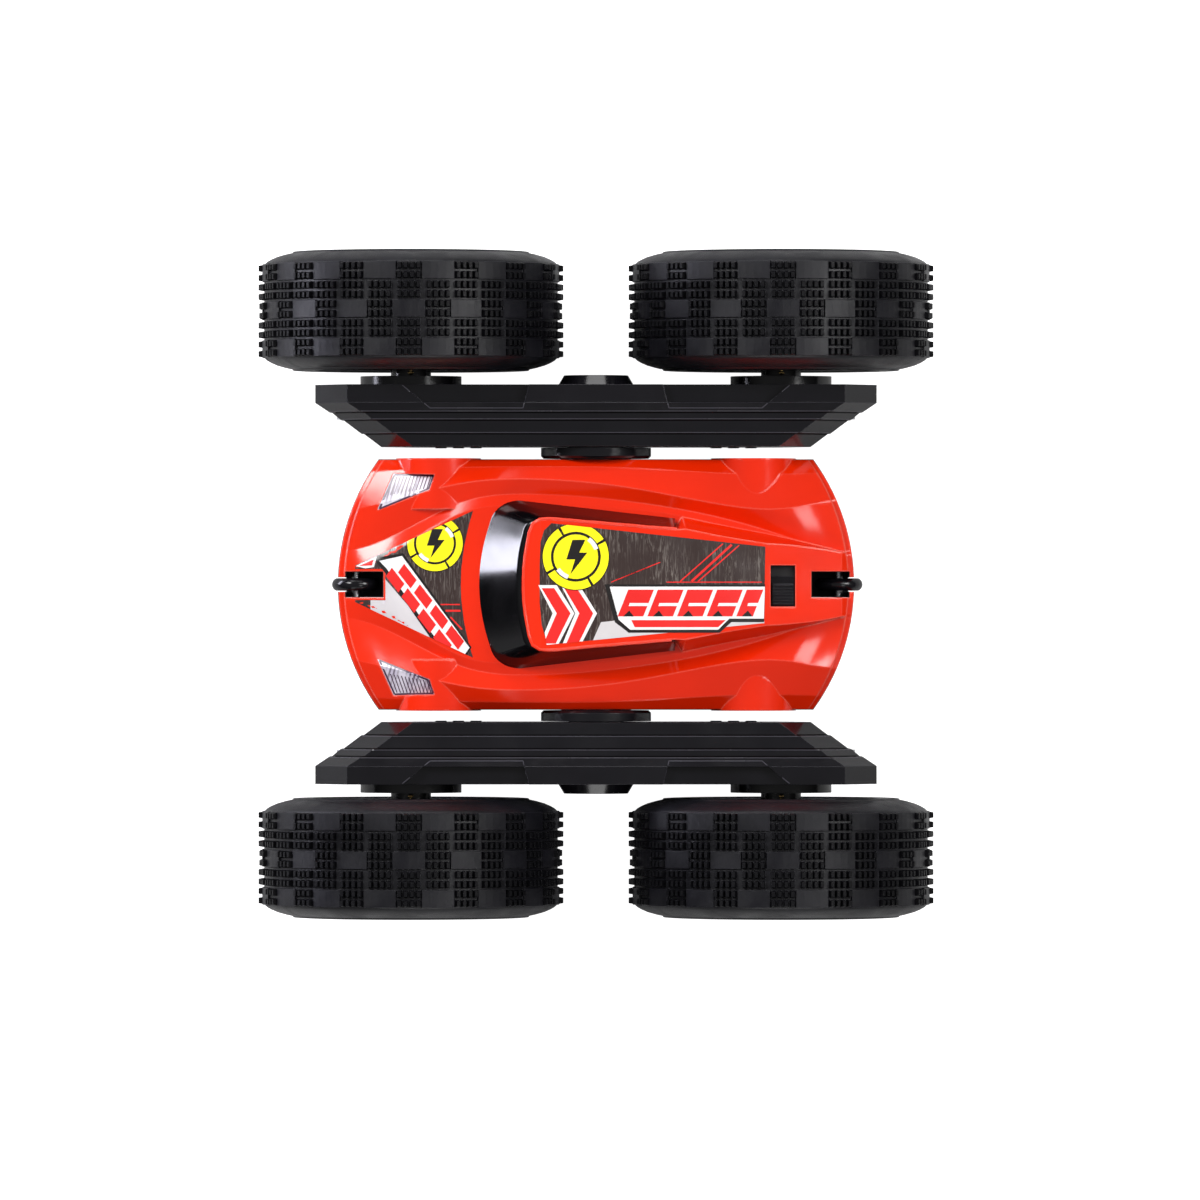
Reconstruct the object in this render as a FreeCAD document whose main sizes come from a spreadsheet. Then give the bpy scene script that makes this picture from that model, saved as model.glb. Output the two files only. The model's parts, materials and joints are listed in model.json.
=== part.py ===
"""RC stunt car: a sports car body hung between two swinging arms, with a geared pair of wheels on each arm.

Frame: +X runs from nose to tail, +Y to the driver's right, +Z up. The origin is on the ground, midway
between the four wheels. Every length is in millimetres.
"""

import FreeCAD, Part
import math
import os
import Sketcher
from FreeCAD import Placement, Rotation, Vector

DIMENSIONS = {
    # wheels
    "tyre_radius": 61.0,
    "tyre_inner_y": 85.5,
    "tyre_width": 47.5,
    "tread_width": 37.6,
    "rim_radius": 30.9,
    "rim_bore": 28.9,
    "rim_lip_radius": 33.0,
    "spoke_count": 5,
    "axle_radius": 2.0,
    "axle_bearing": 2.06,
    "nut_radius": 5.2,
    # arms, measured outwards from the centre plane of the car
    "arm_inner_y": 55.0,
    "arm_seam_y": 72.4,
    "arm_outer_y": 79.6,
    "arm_half_length": 112.0,
    "arm_half_height": 31.0,
    "arm_wall": 2.2,
    "disc_radius": 20.2,
    "disc_height": 3.6,
    "boss_base_radius": 15.2,
    "boss_top_radius": 12.8,
    "boss_height": 4.0,
    "screw_radius": 1.2,
    "screw_head_radius": 2.6,
    # gear train in each arm
    "gear_module": 2.0,
    "sun_teeth": 12,
    "idler_teeth": 22,
    "wheel_gear_teeth": 18,
    "gear_inner_y": 71.9,
    "gear_width": 5.0,
    "wheel_gear_hub": 8.0,
    "hub_bearing": 8.06,
    "pin_radius": 1.5,
    "pin_bearing": 1.56,
    "shaft_radius": 2.5,
    "shaft_bearing": 2.56,
    # pivot between body and arm
    "pivot_drum_radius": 22.0,
    "pivot_neck_radius": 14.0,
    "pivot_spigot_radius": 11.0,
    "pivot_bearing": 11.06,
    "retainer_radius": 14.0,
    # motor drive in the body
    "drive_module": 1.0,
    "output_teeth": 26,
    "pinion_teeth": 10,
    "drive_gear_y": 38.0,
    "motor_shaft_radius": 1.0,
    # body
    "body_half_length": 103.0,
    "body_half_width": 49.8,
    "body_side_half_length": 86.7,
    "shell_wall": 2.0,
    "lower_shell_depth": 26.0,
    "arch_radius": 17.0,
    "arch_x": 63.0,
    "roller_radius": 9.6,
    "roller_width": 5.0,
    "roller_front_x": -96.0,
    "roller_rear_x": 97.0,
    "roller_pin_radius": 1.6,
    "switch_x": 74.4,
    "switch_travel": 4.0,
}

doc = FreeCAD.newDocument("rc_stunt_car")
sheet = doc.addObject("Spreadsheet::Sheet", "Dims")
for row, (alias, value) in enumerate(DIMENSIONS.items(), start=1):
    sheet.set(f"A{row}", alias)
    sheet.set(f"B{row}", str(value))
    sheet.setAlias(f"B{row}", alias)
doc.recompute()

parts = {}
RIGHT, LEFT = 1, -1
SIDE_NAME = {RIGHT: "right", LEFT: "left"}
ON_YZ = Rotation(Vector(0, 1, 0), Vector(0, 0, 1), Vector(1, 0, 0), "ZXY")
ON_XZ = Rotation(Vector(1, 0, 0), Vector(0, 0, 1), Vector(0, -1, 0), "ZXY")


def dim(alias):
    """The sheet's value, as a plain number."""
    return float(sheet.get(alias))


AXIS_Z = dim("tyre_radius")
GEAR_MODULE = dim("gear_module")
IDLER_X = GEAR_MODULE * (dim("sun_teeth") + dim("idler_teeth")) / 2
WHEEL_X = IDLER_X + GEAR_MODULE * (dim("idler_teeth") + dim("wheel_gear_teeth")) / 2
GEAR_OUTER_Y = dim("gear_inner_y") + dim("gear_width")
TYRE_MID_Y = dim("tyre_inner_y") + dim("tyre_width") / 2


# ---------------------------------------------------------------- sketches and features


def draw(sketch, outline):
    """Adds a closed outline: each entry is a corner (x, y), or a pair of points, an arc's middle and its end."""
    corners = []
    for entry in outline:
        nested = isinstance(entry[0], tuple)
        corners.append((entry[1], entry[0]) if nested else (entry, None))
    previous = corners[-1][0]
    for end, through in corners:
        a, b = Vector(*previous, 0), Vector(*end, 0)
        if through is None:
            sketch.addGeometry(Part.LineSegment(a, b))
        else:
            curve = Part.Arc(a, Vector(*through, 0), b).toShape().Curve
            centre = Vector(curve.Center.x, curve.Center.y, 0)
            start, middle, stop = ((p - centre) for p in (a, Vector(*through, 0), b))
            start, middle, stop = (math.atan2(p.y, p.x) for p in (start, middle, stop))
            if (middle - start) % math.tau > (stop - start) % math.tau:
                start, stop = stop, start
            circle = Part.Circle(centre, Vector(0, 0, 1), curve.Radius)
            sketch.addGeometry(Part.ArcOfCircle(circle, start, start + (stop - start) % math.tau))
        previous = end


def ring(sketch, radius, x=0.0, y=0.0):
    """Adds a circle. A radius given as a name is bound to that cell of the sheet."""
    value = dim(radius) if isinstance(radius, str) else radius
    index = sketch.addGeometry(Part.Circle(Vector(x, y, 0), Vector(0, 0, 1), value))
    constraint = sketch.addConstraint(Sketcher.Constraint("Radius", index, value))
    if isinstance(radius, str):
        sketch.setExpression(f"Constraints[{constraint}]", f"Dims.{radius}")


def body_named(label):
    body = doc.addObject("PartDesign::Body", label)
    body.Label = label
    parts[label] = body
    return body


def sketch_in(body, role, offset=0.0):
    """A sketch on one of the body's own origin planes. XZ sketches face -Y, so their offset is taken along +Y."""
    sketch = body.newObject("Sketcher::SketchObject", f"{body.Label}_sketch")
    plane = next(f for f in body.Origin.OriginFeatures if f.Role == role)
    sketch.AttachmentSupport = [(plane, "")]
    sketch.MapMode = "FlatFace"
    along = -offset if role == "XZ_Plane" else offset
    sketch.AttachmentOffset = Placement(Vector(0, 0, along), Rotation())
    return sketch


def extrude(body, kind, sketch, length, forwards=True):
    """A Pad or Pocket. length is a number or a sheet expression. forwards means towards +Y, or +Z on XY sketches."""
    feature = body.newObject(f"PartDesign::{kind}", f"{body.Label}_{kind.lower()}")
    feature.Profile = sketch
    if isinstance(length, str):
        feature.setExpression("Length", length)
    else:
        feature.Length = length
    faces_minus_y = sketch.AttachmentSupport[0][0].Role == "XZ_Plane"
    along_normal = forwards != faces_minus_y
    feature.Reversed = along_normal if kind == "Pocket" else not along_normal
    return feature


def spin(body, outline):
    """Revolves an outline of (radius, y) points about the body's Y axis."""
    sketch = sketch_in(body, "XY_Plane")
    draw(sketch, outline)
    feature = body.newObject("PartDesign::Revolution", f"{body.Label}_turned")
    feature.Profile = sketch
    feature.ReferenceAxis = (sketch, ["V_Axis"])
    feature.Angle = 360
    return feature


def cut_discs(body, radius, places, start_y, length):
    """Pockets of one radius at (x, z) places, from start_y towards +Y."""
    sketch = sketch_in(body, "XZ_Plane", start_y)
    for x, z in places:
        ring(sketch, radius, x, z)
    return extrude(body, "Pocket", sketch, length)


def add_discs(body, radius, places, start_y, length):
    sketch = sketch_in(body, "XZ_Plane", start_y)
    for x, z in places:
        ring(sketch, radius, x, z)
    return extrude(body, "Pad", sketch, length)


def repeat_round(body, feature, axis_sketch, count):
    """Repeats a feature about an XZ sketch's normal through its origin."""
    pattern = body.newObject("PartDesign::PolarPattern", f"{body.Label}_pattern")
    pattern.Originals = [feature]
    pattern.Axis = (axis_sketch, ["N_Axis"])
    pattern.Angle = 360
    pattern.setExpression("Occurrences", count)
    body.Tip = pattern
    return pattern


def stand(body, side, x=0.0):
    """Puts a body built for the right-hand side at x on the pivot's height; LEFT turns it half round Z."""
    turn = 0 if side == RIGHT else 180
    body.Placement = Placement(Vector(x, 0, AXIS_Z), Rotation(Vector(0, 0, 1), turn))
    body.setExpression("Placement.Base.z", "Dims.tyre_radius")


def free_sketch(label, rotation, base, outline):
    sketch = doc.addObject("Sketcher::SketchObject", label)
    sketch.Placement = Placement(base, rotation)
    draw(sketch, outline)
    return sketch


def prism(label, sketch, length, symmetric=False):
    """A Part extrusion along the sketch's normal."""
    block = doc.addObject("Part::Extrusion", label)
    block.Base = sketch
    block.DirMode = "Normal"
    block.LengthFwd = length
    block.Symmetric = symmetric
    block.Solid = True
    return block


def loft(label, sketches, ruled=False):
    skin = doc.addObject("Part::Loft", label)
    skin.Sections = sketches
    skin.Solid = True
    skin.Ruled = ruled
    return skin


def box(label, low, high):
    block = doc.addObject("Part::Box", label)
    block.Length, block.Width, block.Height = (b - a for a, b in zip(low, high))
    block.Placement = Placement(Vector(*low), Rotation())
    return block


def rod(label, radius, start, end_y):
    """A cylinder along +Y from start to end_y."""
    bar = doc.addObject("Part::Cylinder", label)
    if isinstance(radius, str):
        bar.setExpression("Radius", f"Dims.{radius}")
    else:
        bar.Radius = radius
    bar.Height = end_y - start[1]
    bar.Placement = Placement(Vector(*start), Rotation(Vector(1, 0, 0), -90))
    return bar


def join(label, pieces):
    fused = doc.addObject("Part::MultiFuse", label)
    fused.Shapes = pieces
    return fused


def cut(label, base, tools):
    """base less every tool."""
    for number, tool in enumerate(tools, start=1):
        last = number == len(tools)
        result = doc.addObject("Part::Cut", label if last else f"{label}_step{number}")
        result.Base, result.Tool = base, tool
        base = result
    return base


def common(label, first, second):
    shared = doc.addObject("Part::Common", label)
    shared.Base, shared.Tool = first, second
    return shared


def group(label, pieces):
    """Separate solids that share one node."""
    compound = doc.addObject("Part::Compound", label)
    compound.Links = pieces
    return keep(label, compound)


def keep(label, thing):
    thing.Label = label
    parts[label] = thing
    return thing


def mirrored_outline(half):
    """A closed outline from its half with x >= 0, listed from top to bottom."""
    return half + [(-x, y) for x, y in reversed(half)]


# ---------------------------------------------------------------- gears

TOOTH_TOP = 0.86
TOOTH_ROOT = 1.15
HALF_TIP = 0.24
HALF_BASE = 1.02


def gear(body, teeth, module, start_y, bore, phase=0.0):
    """A spur gear: a root disc, one trapezoid tooth and its polar pattern, and a bore. phase is in degrees."""
    count = int(dim(teeth))
    pitch = count * module / 2
    root = pitch - TOOTH_ROOT * module
    disc = sketch_in(body, "XZ_Plane", start_y)
    ring(disc, root)
    extrude(body, "Pad", disc, "Dims.gear_width")
    tooth = sketch_in(body, "XZ_Plane", start_y)
    across = [(root - 0.4 * module, -HALF_BASE * module), (pitch + TOOTH_TOP * module, -HALF_TIP * module)]
    across += [(x, -z) for x, z in reversed(across)]
    turn = math.radians(phase)
    draw(tooth, [(x * math.cos(turn) - z * math.sin(turn), x * math.sin(turn) + z * math.cos(turn)) for x, z in across])
    pad = extrude(body, "Pad", tooth, "Dims.gear_width")
    doc.recompute()
    repeat_round(body, pad, tooth, f"Dims.{teeth}")
    doc.recompute()
    if bore:
        cut_discs(body, bore, [(0, 0)], start_y - 1, dim("gear_width") + 2)
    return pitch


# ---------------------------------------------------------------- wheels

BEAD_Y = 21.4
LIP_Y = 22.0
RIM_END_Y = 23.0


def wheel(corner, side, x):
    """Tyre, rim, axle, driven gear and nut. y is given from the middle of the tyre."""
    mid = TYRE_MID_Y
    half = dim("tyre_width") / 2
    tread = dim("tread_width") / 2
    crown = dim("tyre_radius")
    bead = dim("rim_radius") + 0.05

    tyre = body_named(f"tyre_{corner}")
    outer = [(bead, -BEAD_Y), (43, -half), (55.5, 3.2 - half), (crown - 1.6, -tread), (crown, 0.9 - tread)]
    hollow = [(bead, 17.0), (56.8, tread - 2.4), (56.8, 2.4 - tread), (bead, -17.0)]
    profile = outer + [(r, -y) for r, y in reversed(outer)] + hollow
    spin(tyre, [(r, mid + y) for r, y in profile])
    stand(tyre, side, x)

    rim = body_named(f"rim_{corner}")
    barrel, bore, lip = dim("rim_radius"), dim("rim_bore"), dim("rim_lip_radius")
    profile = [(barrel, -LIP_Y), (lip, -LIP_Y), (lip, -RIM_END_Y), (bore, -RIM_END_Y), (bore, 5), (8.5, 1)]
    profile += [(8.5, -20), (2, -20), (2, 9.6), (9.5, 9.6), (10.5, 6.5), (bore, 9)]
    profile += [(bore, RIM_END_Y), (lip, RIM_END_Y), (lip, LIP_Y), (barrel, LIP_Y)]
    spin(rim, [(r, mid + y) for r, y in profile])
    window = sketch_in(rim, "XZ_Plane", mid - 2)
    draw(window, [(13.5, -3.2), (26.6, -9.4), ((28.2, 0), (26.6, 9.4)), (13.5, 3.2)])
    doc.recompute()
    opening = extrude(rim, "Pocket", window, 14)
    doc.recompute()
    repeat_round(rim, opening, window, "Dims.spoke_count")
    doc.recompute()
    socket = sketch_in(rim, "XZ_Plane", mid - 21)
    draw(socket, hexagon(5.8))
    extrude(rim, "Pocket", socket, 7)
    stand(rim, side, x)

    driven = body_named(f"wheel_gear_{corner}")
    gear(driven, "wheel_gear_teeth", GEAR_MODULE, dim("gear_inner_y"), None)
    hub = sketch_in(driven, "XZ_Plane", GEAR_OUTER_Y)
    ring(hub, "wheel_gear_hub")
    extrude(driven, "Pad", hub, 12)
    driver = sketch_in(driven, "XZ_Plane", GEAR_OUTER_Y + 12)
    draw(driver, hexagon(5.7))
    extrude(driven, "Pad", driver, 5.5)
    doc.recompute()
    cut_discs(driven, "axle_radius", [(0, 0)], 70, 26)
    stand(driven, side, x)

    axle = body_named(f"axle_{corner}")
    add_discs(axle, "axle_radius", [(0, 0)], 59, mid + 14 - 59)
    stand(axle, side, x)

    nut = body_named(f"wheel_nut_{corner}")
    flats = sketch_in(nut, "XZ_Plane", mid + 9.6)
    draw(flats, hexagon(dim("nut_radius")))
    extrude(nut, "Pad", flats, 3.4)
    doc.recompute()
    cut_discs(nut, "axle_bearing", [(0, 0)], mid + 9, 6)
    stand(nut, side, x)


def hexagon(radius):
    return [(radius * math.cos(math.radians(a)), radius * math.sin(math.radians(a))) for a in range(0, 360, 60)]


# ---------------------------------------------------------------- arms

SCREW_PLACES = [(101, 0), (54, 19.4), (54, -19.4), (-54, 19.4), (-54, -19.4), (-101, 0)]
STEP_Y = [72.4, 68.8, 65.7, 60.3, 55.0]
STEP_DEPTH = 0.9
END_SLOPE = 1.5
TOP_SLOPE = 0.45
INNER_FLOOR_Y = 57.2
BOSS_TOP_Y = 70.3


def arm_outline(inset, y=None):
    """The arm's long octagon seen along Y. Inwards of the seam its ends and long sides draw in with y."""
    back = 0.0 if y is None else dim("arm_seam_y") - y
    length = dim("arm_half_length") - inset - END_SLOPE * back
    height = dim("arm_half_height") - inset - TOP_SLOPE * back
    corner_x, corner_z = 13.0, 17.0 - 0.2 * back
    half = [(length - corner_x, height), (length, height - corner_z), (length, corner_z - height)]
    half += [(length - corner_x, -height)]
    return mirrored_outline(half)


def loft_feature(body, kind, near, far):
    """An additive or subtractive loft in a body between (y, outline) sections."""
    sections = []
    for y, outline in (near, far):
        section = sketch_in(body, "XZ_Plane", y)
        draw(section, outline)
        sections.append(section)
    doc.recompute()
    feature = body.newObject(f"PartDesign::{kind}Loft", f"{body.Label}_loft")
    feature.Profile = sections[0]
    feature.Sections = [sections[1]]
    feature.Ruled = True
    doc.recompute()


def arm_inner_cover(side):
    """The stepped casing half that faces the car body, with the bearing for the pivot and posts for the pins."""
    cover = body_named(f"arm_inner_cover_{SIDE_NAME[side]}")
    for number, (outer_y, inner_y) in enumerate(zip(STEP_Y, STEP_Y[1:])):
        inset = STEP_DEPTH if number else 0.0
        loft_feature(cover, "Additive", (outer_y, arm_outline(inset, outer_y)), (inner_y, arm_outline(0, inner_y)))
    wall = dim("arm_wall")
    hollow_end = (INNER_FLOOR_Y, arm_outline(wall + 1.2, INNER_FLOOR_Y))
    loft_feature(cover, "Subtractive", (dim("arm_seam_y"), arm_outline(wall + 0.6)), hollow_end)
    post = "Dims.arm_seam_y - 3"
    pivot = sketch_in(cover, "XZ_Plane", dim("arm_inner_y"))
    ring(pivot, "retainer_radius")
    extrude(cover, "Pad", pivot, 12.3)
    add_discs(cover, 5.0, [(WHEEL_X, 0), (-WHEEL_X, 0)], 56, BOSS_TOP_Y - 56)
    add_discs(cover, 3.6, [(IDLER_X, 0), (-IDLER_X, 0)], 56, BOSS_TOP_Y - 56)
    doc.recompute()
    add_discs(cover, 3.6, SCREW_PLACES[1:5], 56, dim("arm_seam_y") - 56)
    doc.recompute()
    cut_discs(cover, "pivot_bearing", [(0, 0)], 50, 30)
    cut_discs(cover, "axle_bearing", [(WHEEL_X, 0), (-WHEEL_X, 0)], 58.8, 20)
    cut_discs(cover, "pin_radius", [(IDLER_X, 0), (-IDLER_X, 0)], 64, 10)
    cut_discs(cover, 1.5, SCREW_PLACES, 50, 30)
    cut_discs(cover, 2.8, SCREW_PLACES[1:5], 50, 9)
    cut_discs(cover, 2.8, SCREW_PLACES[::5], 50, 18)
    bars = sketch_in(cover, "XZ_Plane", dim("arm_inner_y") - 0.5)
    for x in (-62, -55, -48, 48, 55, 62):
        draw(bars, [(x - 2.2, -6), (x + 2.2, -6), (x + 2.2, 6), (x - 2.2, 6)])
    extrude(cover, "Pad", bars, 1.0)
    stand(cover, side)


NOTCH = [(-77, 79.7), (-66, 70), (-29, 70), (-26.6, 79.7)]
NOTCH_HEIGHT = 26.8


def arm_outer_cover(side):
    """The casing half that faces the wheels: rim, waist notches, wheel discs and the pivot's end boss."""
    cover = body_named(f"arm_outer_cover_{SIDE_NAME[side]}")
    outline = sketch_in(cover, "XZ_Plane", dim("arm_seam_y"))
    draw(outline, arm_outline(0))
    extrude(cover, "Pad", outline, "Dims.arm_outer_y - Dims.arm_seam_y")
    wheels = [(WHEEL_X, 0), (-WHEEL_X, 0)]
    add_discs(cover, "disc_radius", wheels, 78, dim("arm_outer_y") + dim("disc_height") - 78)
    doc.recompute()
    rim_edge = doc.addObject("PartDesign::AdditiveCone", f"{cover.Label}_boss")
    cover.addObject(rim_edge)
    rim_edge.setExpression("Radius1", "Dims.boss_base_radius")
    rim_edge.setExpression("Radius2", "Dims.boss_top_radius")
    rim_edge.setExpression("Height", "Dims.boss_height")
    rim_edge.Placement = Placement(Vector(0, dim("arm_outer_y"), 0), Rotation(Vector(1, 0, 0), -90))
    doc.recompute()
    cavity = sketch_in(cover, "XZ_Plane", dim("arm_seam_y") - 1)
    end, waist = dim("arm_half_length") - dim("arm_wall") - 0.6, NOTCH_HEIGHT - dim("arm_wall")
    half = [(40, waist), (80, waist), (82, 27.8), (end - 13, 27.8), (end, 13.5), (end, -13.5), (end - 13, -27.8)]
    half += [(82, -27.8), (80, -waist), (40, -waist)]
    draw(cavity, mirrored_outline(half))
    extrude(cover, "Pocket", cavity, 6.0)
    doc.recompute()
    for direction in (1, -1):
        for ends in (1, -1):
            notch = sketch_in(cover, "XY_Plane", direction * NOTCH_HEIGHT)
            draw(notch, [(ends * x, y) for x, y in NOTCH])
            extrude(cover, "Pocket", notch, 10, forwards=direction > 0)
    doc.recompute()
    add_discs(cover, 3.6, SCREW_PLACES, dim("arm_seam_y"), 6)
    add_discs(cover, 5.0, [(0, 0)], 77.2, 2)
    doc.recompute()
    cut_discs(cover, "hub_bearing", wheels, 70, 20)
    cut_discs(cover, "pin_radius", [(IDLER_X, 0), (-IDLER_X, 0)], 76, 2.6)
    cut_discs(cover, "shaft_bearing", [(0, 0)], 76, 5.2)
    cut_discs(cover, "screw_radius", SCREW_PLACES, 70, 7.6)
    panel = sketch_in(cover, "XZ_Plane", dim("arm_outer_y") - 0.8)
    for ends in (1, -1):
        draw(panel, [(ends * x, z) for x, z in ((20, -16), (48, -16), (52, -8), (52, 8), (48, 16), (20, 16))])
    extrude(cover, "Pocket", panel, 3)
    stand(cover, side)


def arm_screws(side):
    """Six self-tapping screws with their heads in the inner cover's counterbores."""
    screws = []
    for number, (x, z) in enumerate(SCREW_PLACES):
        head_y = 68.0 if abs(x) > 90 else 59.0
        label = f"arm_screw_{SIDE_NAME[side]}_{number}"
        x, z, reach = side * x, z + AXIS_Z, dim("arm_outer_y") - 3
        ends = (head_y, reach) if side == RIGHT else (-reach, -head_y)
        shank = rod(f"{label}_shank", "screw_radius", (x, ends[0], z), ends[1])
        head_ends = (head_y - 2, head_y) if side == RIGHT else (-head_y, 2 - head_y)
        head = rod(f"{label}_head", "screw_head_radius", (x, head_ends[0], z), head_ends[1])
        screws.append(join(label, [shank, head]))
    group(f"arm_screws_{SIDE_NAME[side]}", screws)


def arm_gears(side):
    """Sun gear on the drive shaft, an idler each way from it, and the idlers' pins."""
    name = SIDE_NAME[side]
    sun = body_named(f"sun_gear_{name}")
    gear(sun, "sun_teeth", GEAR_MODULE, dim("gear_inner_y"), "shaft_radius")
    stand(sun, side)
    shaft = body_named(f"drive_shaft_{name}")
    add_discs(shaft, "shaft_radius", [(0, 0)], 34, 80.6 - 34)
    stand(shaft, side)
    for place in (RIGHT, LEFT):
        end = "rear" if place * side > 0 else "front"
        idler = body_named(f"idler_gear_{end}_{name}")
        gear(idler, "idler_teeth", GEAR_MODULE, dim("gear_inner_y"), None, phase=180 / dim("idler_teeth"))
        add_discs(idler, 4.0, [(0, 0)], BOSS_TOP_Y + 0.2, 3)
        doc.recompute()
        cut_discs(idler, "pin_bearing", [(0, 0)], 60, 20)
        stand(idler, side, place * side * IDLER_X)
    pins = []
    for number, place in enumerate((RIGHT, LEFT)):
        ends = (64.2, 78.4) if side == RIGHT else (-78.4, -64.2)
        pins.append(rod(f"idler_pin_{name}_{number}", "pin_radius", (place * IDLER_X, ends[0], AXIS_Z), ends[1]))
    group(f"idler_pins_{name}", pins)


def pivot(side):
    """The drum between body and arm, with the spigot that the arm turns on, and the ring that keeps the arm on it."""
    name = SIDE_NAME[side]
    drum = body_named(f"pivot_drum_{name}")
    big, neck, spigot = dim("pivot_drum_radius"), dim("pivot_neck_radius"), dim("pivot_spigot_radius")
    bore = dim("shaft_bearing")
    profile = [(bore, 43.5), (neck + 1.2, 43.5), (neck + 1.2, 44.7), (neck, 44.7), (neck, 50.3), (big - 1, 50.3), (big, 51.3)]
    profile += [(big, 54.6), (spigot, 54.6), (spigot, 67.5), (bore, 67.5)]
    spin(drum, profile)
    stand(drum, side)
    ring_part = body_named(f"arm_retainer_{name}")
    spin(ring_part, [(bore, 67.6), (dim("retainer_radius"), 67.6), (dim("retainer_radius"), 69.0), (bore, 69.0)])
    stand(ring_part, side)


# ---------------------------------------------------------------- motor drive in the body

PINION_X = dim("drive_module") * (dim("output_teeth") + dim("pinion_teeth")) / 2


def motor_drive(side):
    """Output gear on the drive shaft and the pinion on the motor's shaft."""
    name = SIDE_NAME[side]
    output = body_named(f"output_gear_{name}")
    gear(output, "output_teeth", dim("drive_module"), dim("drive_gear_y"), "shaft_bearing")
    stand(output, side)
    pinion = body_named(f"motor_pinion_{name}")
    half_pitch = 180 / dim("pinion_teeth")
    gear(pinion, "pinion_teeth", dim("drive_module"), dim("drive_gear_y"), None, phase=half_pitch)
    add_discs(pinion, "motor_shaft_radius", [(0, 0)], 35.6, 3)
    stand(pinion, side, side * PINION_X)


def motors_and_trays():
    motors, trays = [], []
    for side in (RIGHT, LEFT):
        name = SIDE_NAME[side]
        span = (lambda a, b: (a, b)) if side == RIGHT else (lambda a, b: (-b, -a))
        x = side * PINION_X
        low, high = span(9.5, 34.6)
        can = rod(f"motor_can_{name}", 10.0, (x, low, AXIS_Z), high)
        flats = box(f"motor_flats_{name}", (x - 10, low, AXIS_Z - 7.5), (x + 10, high, AXIS_Z + 7.5))
        low, high = span(7.0, 9.5)
        cap = rod(f"motor_cap_{name}", 5.0, (x, low, AXIS_Z), high)
        motors.append(join(f"motor_{name}", [common(f"motor_case_{name}", can, flats), cap]))
        low, high = span(35.0, 43.4)
        centre = side * 4.0
        tray = box(f"tray_block_{name}", (centre - 21.6, low, AXIS_Z - 15.6), (centre + 21.6, high, AXIS_Z + 15.6))
        low, high = span(36.6, 45.5)
        room = box(f"tray_room_{name}", (centre - 20.4, low, AXIS_Z - 14.4), (centre + 20.4, high, AXIS_Z + 14.4))
        low, high = span(30, 40)
        shaft_hole = rod(f"tray_shaft_hole_{name}", "shaft_bearing", (0, low, AXIS_Z), high)
        motor_hole = rod(f"tray_motor_hole_{name}", 3.0, (x, low, AXIS_Z), high)
        trays.append(cut(f"gear_tray_{name}", tray, [room, shaft_hole, motor_hole]))
    group("drive_motors", motors)
    group("gear_trays", trays)


# ---------------------------------------------------------------- car body

# Half cross sections of the lower body: at each station x, the height above the pivot axis of the centre line,
# hood edge, valley, fender crest, shoulder and side, each with its distance from the centre plane.
BODY_STATIONS = [
    (-104, [(0, 5), (5, 5), (12, 4.6), (28, 4.2), (44, 3.2), (49.8, 2.4)]),
    (-92, [(0, 9.5), (8, 10.2), (15, 8.8), (31, 10.5), (45, 7), (49.8, 5)]),
    (-72, [(0, 14), (18.5, 15.2), (24, 13.2), (36, 16.6), (46, 13), (49.8, 10)]),
    (-49, [(0, 17.6), (30, 18.8), (34, 17.6), (41, 20.2), (46.8, 17), (49.8, 13)]),
    (-24, [(0, 19), (31, 19), (36, 18.6), (42, 20.4), (47, 18.2), (49.8, 15)]),
    (14, [(0, 19), (30, 18.6), (33, 18.2), (38.5, 20.4), (46.5, 18), (49.8, 15)]),
    (48, [(0, 19), (24, 18), (27, 17.2), (32.2, 20.2), (44.5, 17.4), (49.8, 12.5)]),
    (74, [(0, 18), (16, 17), (19.6, 16), (30.2, 19.6), (44, 15), (49.8, 10)]),
    (92, [(0, 16), (12, 15.4), (14, 14.6), (33, 16), (44.5, 11), (49.8, 7)]),
    (104, [(0, 13), (12, 12.6), (14, 12.2), (33, 11.6), (44.5, 8), (49.8, 5)]),
]
ROOF_LINE = [(-30, 35), (-22, 36.6), (0, 37.2), (26, 35), (50, 31), (68, 26.8), (82, 23), (98, 17.6), (104, 12)]


def plan_outline(inset, end_inset=0.0):
    """The body's outline seen from above: straight sides, round nose and tail. end_inset draws in only the ends."""
    nose = dim("body_half_length") - inset - end_inset
    side = dim("body_half_width") - inset
    corner = dim("body_side_half_length") - 0.8 * (inset + end_inset)
    return [(corner, side), ((nose, 0), (corner, -side)), (-corner, -side), ((-nose, 0), (-corner, side))]


def plan_prism(label, inset, low, high, end_inset=0.0):
    sketch = free_sketch(f"{label}_plan", Rotation(), Vector(0, 0, AXIS_Z + low), plan_outline(inset, end_inset))
    return prism(label, sketch, high - low)


def body_loft(label, wall, bottom, lowered=0.0):
    """A loft through the body's stations, drawn in by wall and lowered."""
    sections = []
    for x, half in BODY_STATIONS:
        inner = [(v - wall if v > 45 else v, z - wall) for v, z in half[1:]]
        upper = [(v, z) for v, z in inner] + [(inner[-1][0], bottom)]
        outline = upper + [(-v, z) for v, z in reversed(upper)]
        sections.append(free_sketch(f"{label}_{x + 104}", ON_YZ, Vector(x, 0, AXIS_Z - lowered), outline))
    return loft(label, sections)


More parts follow.
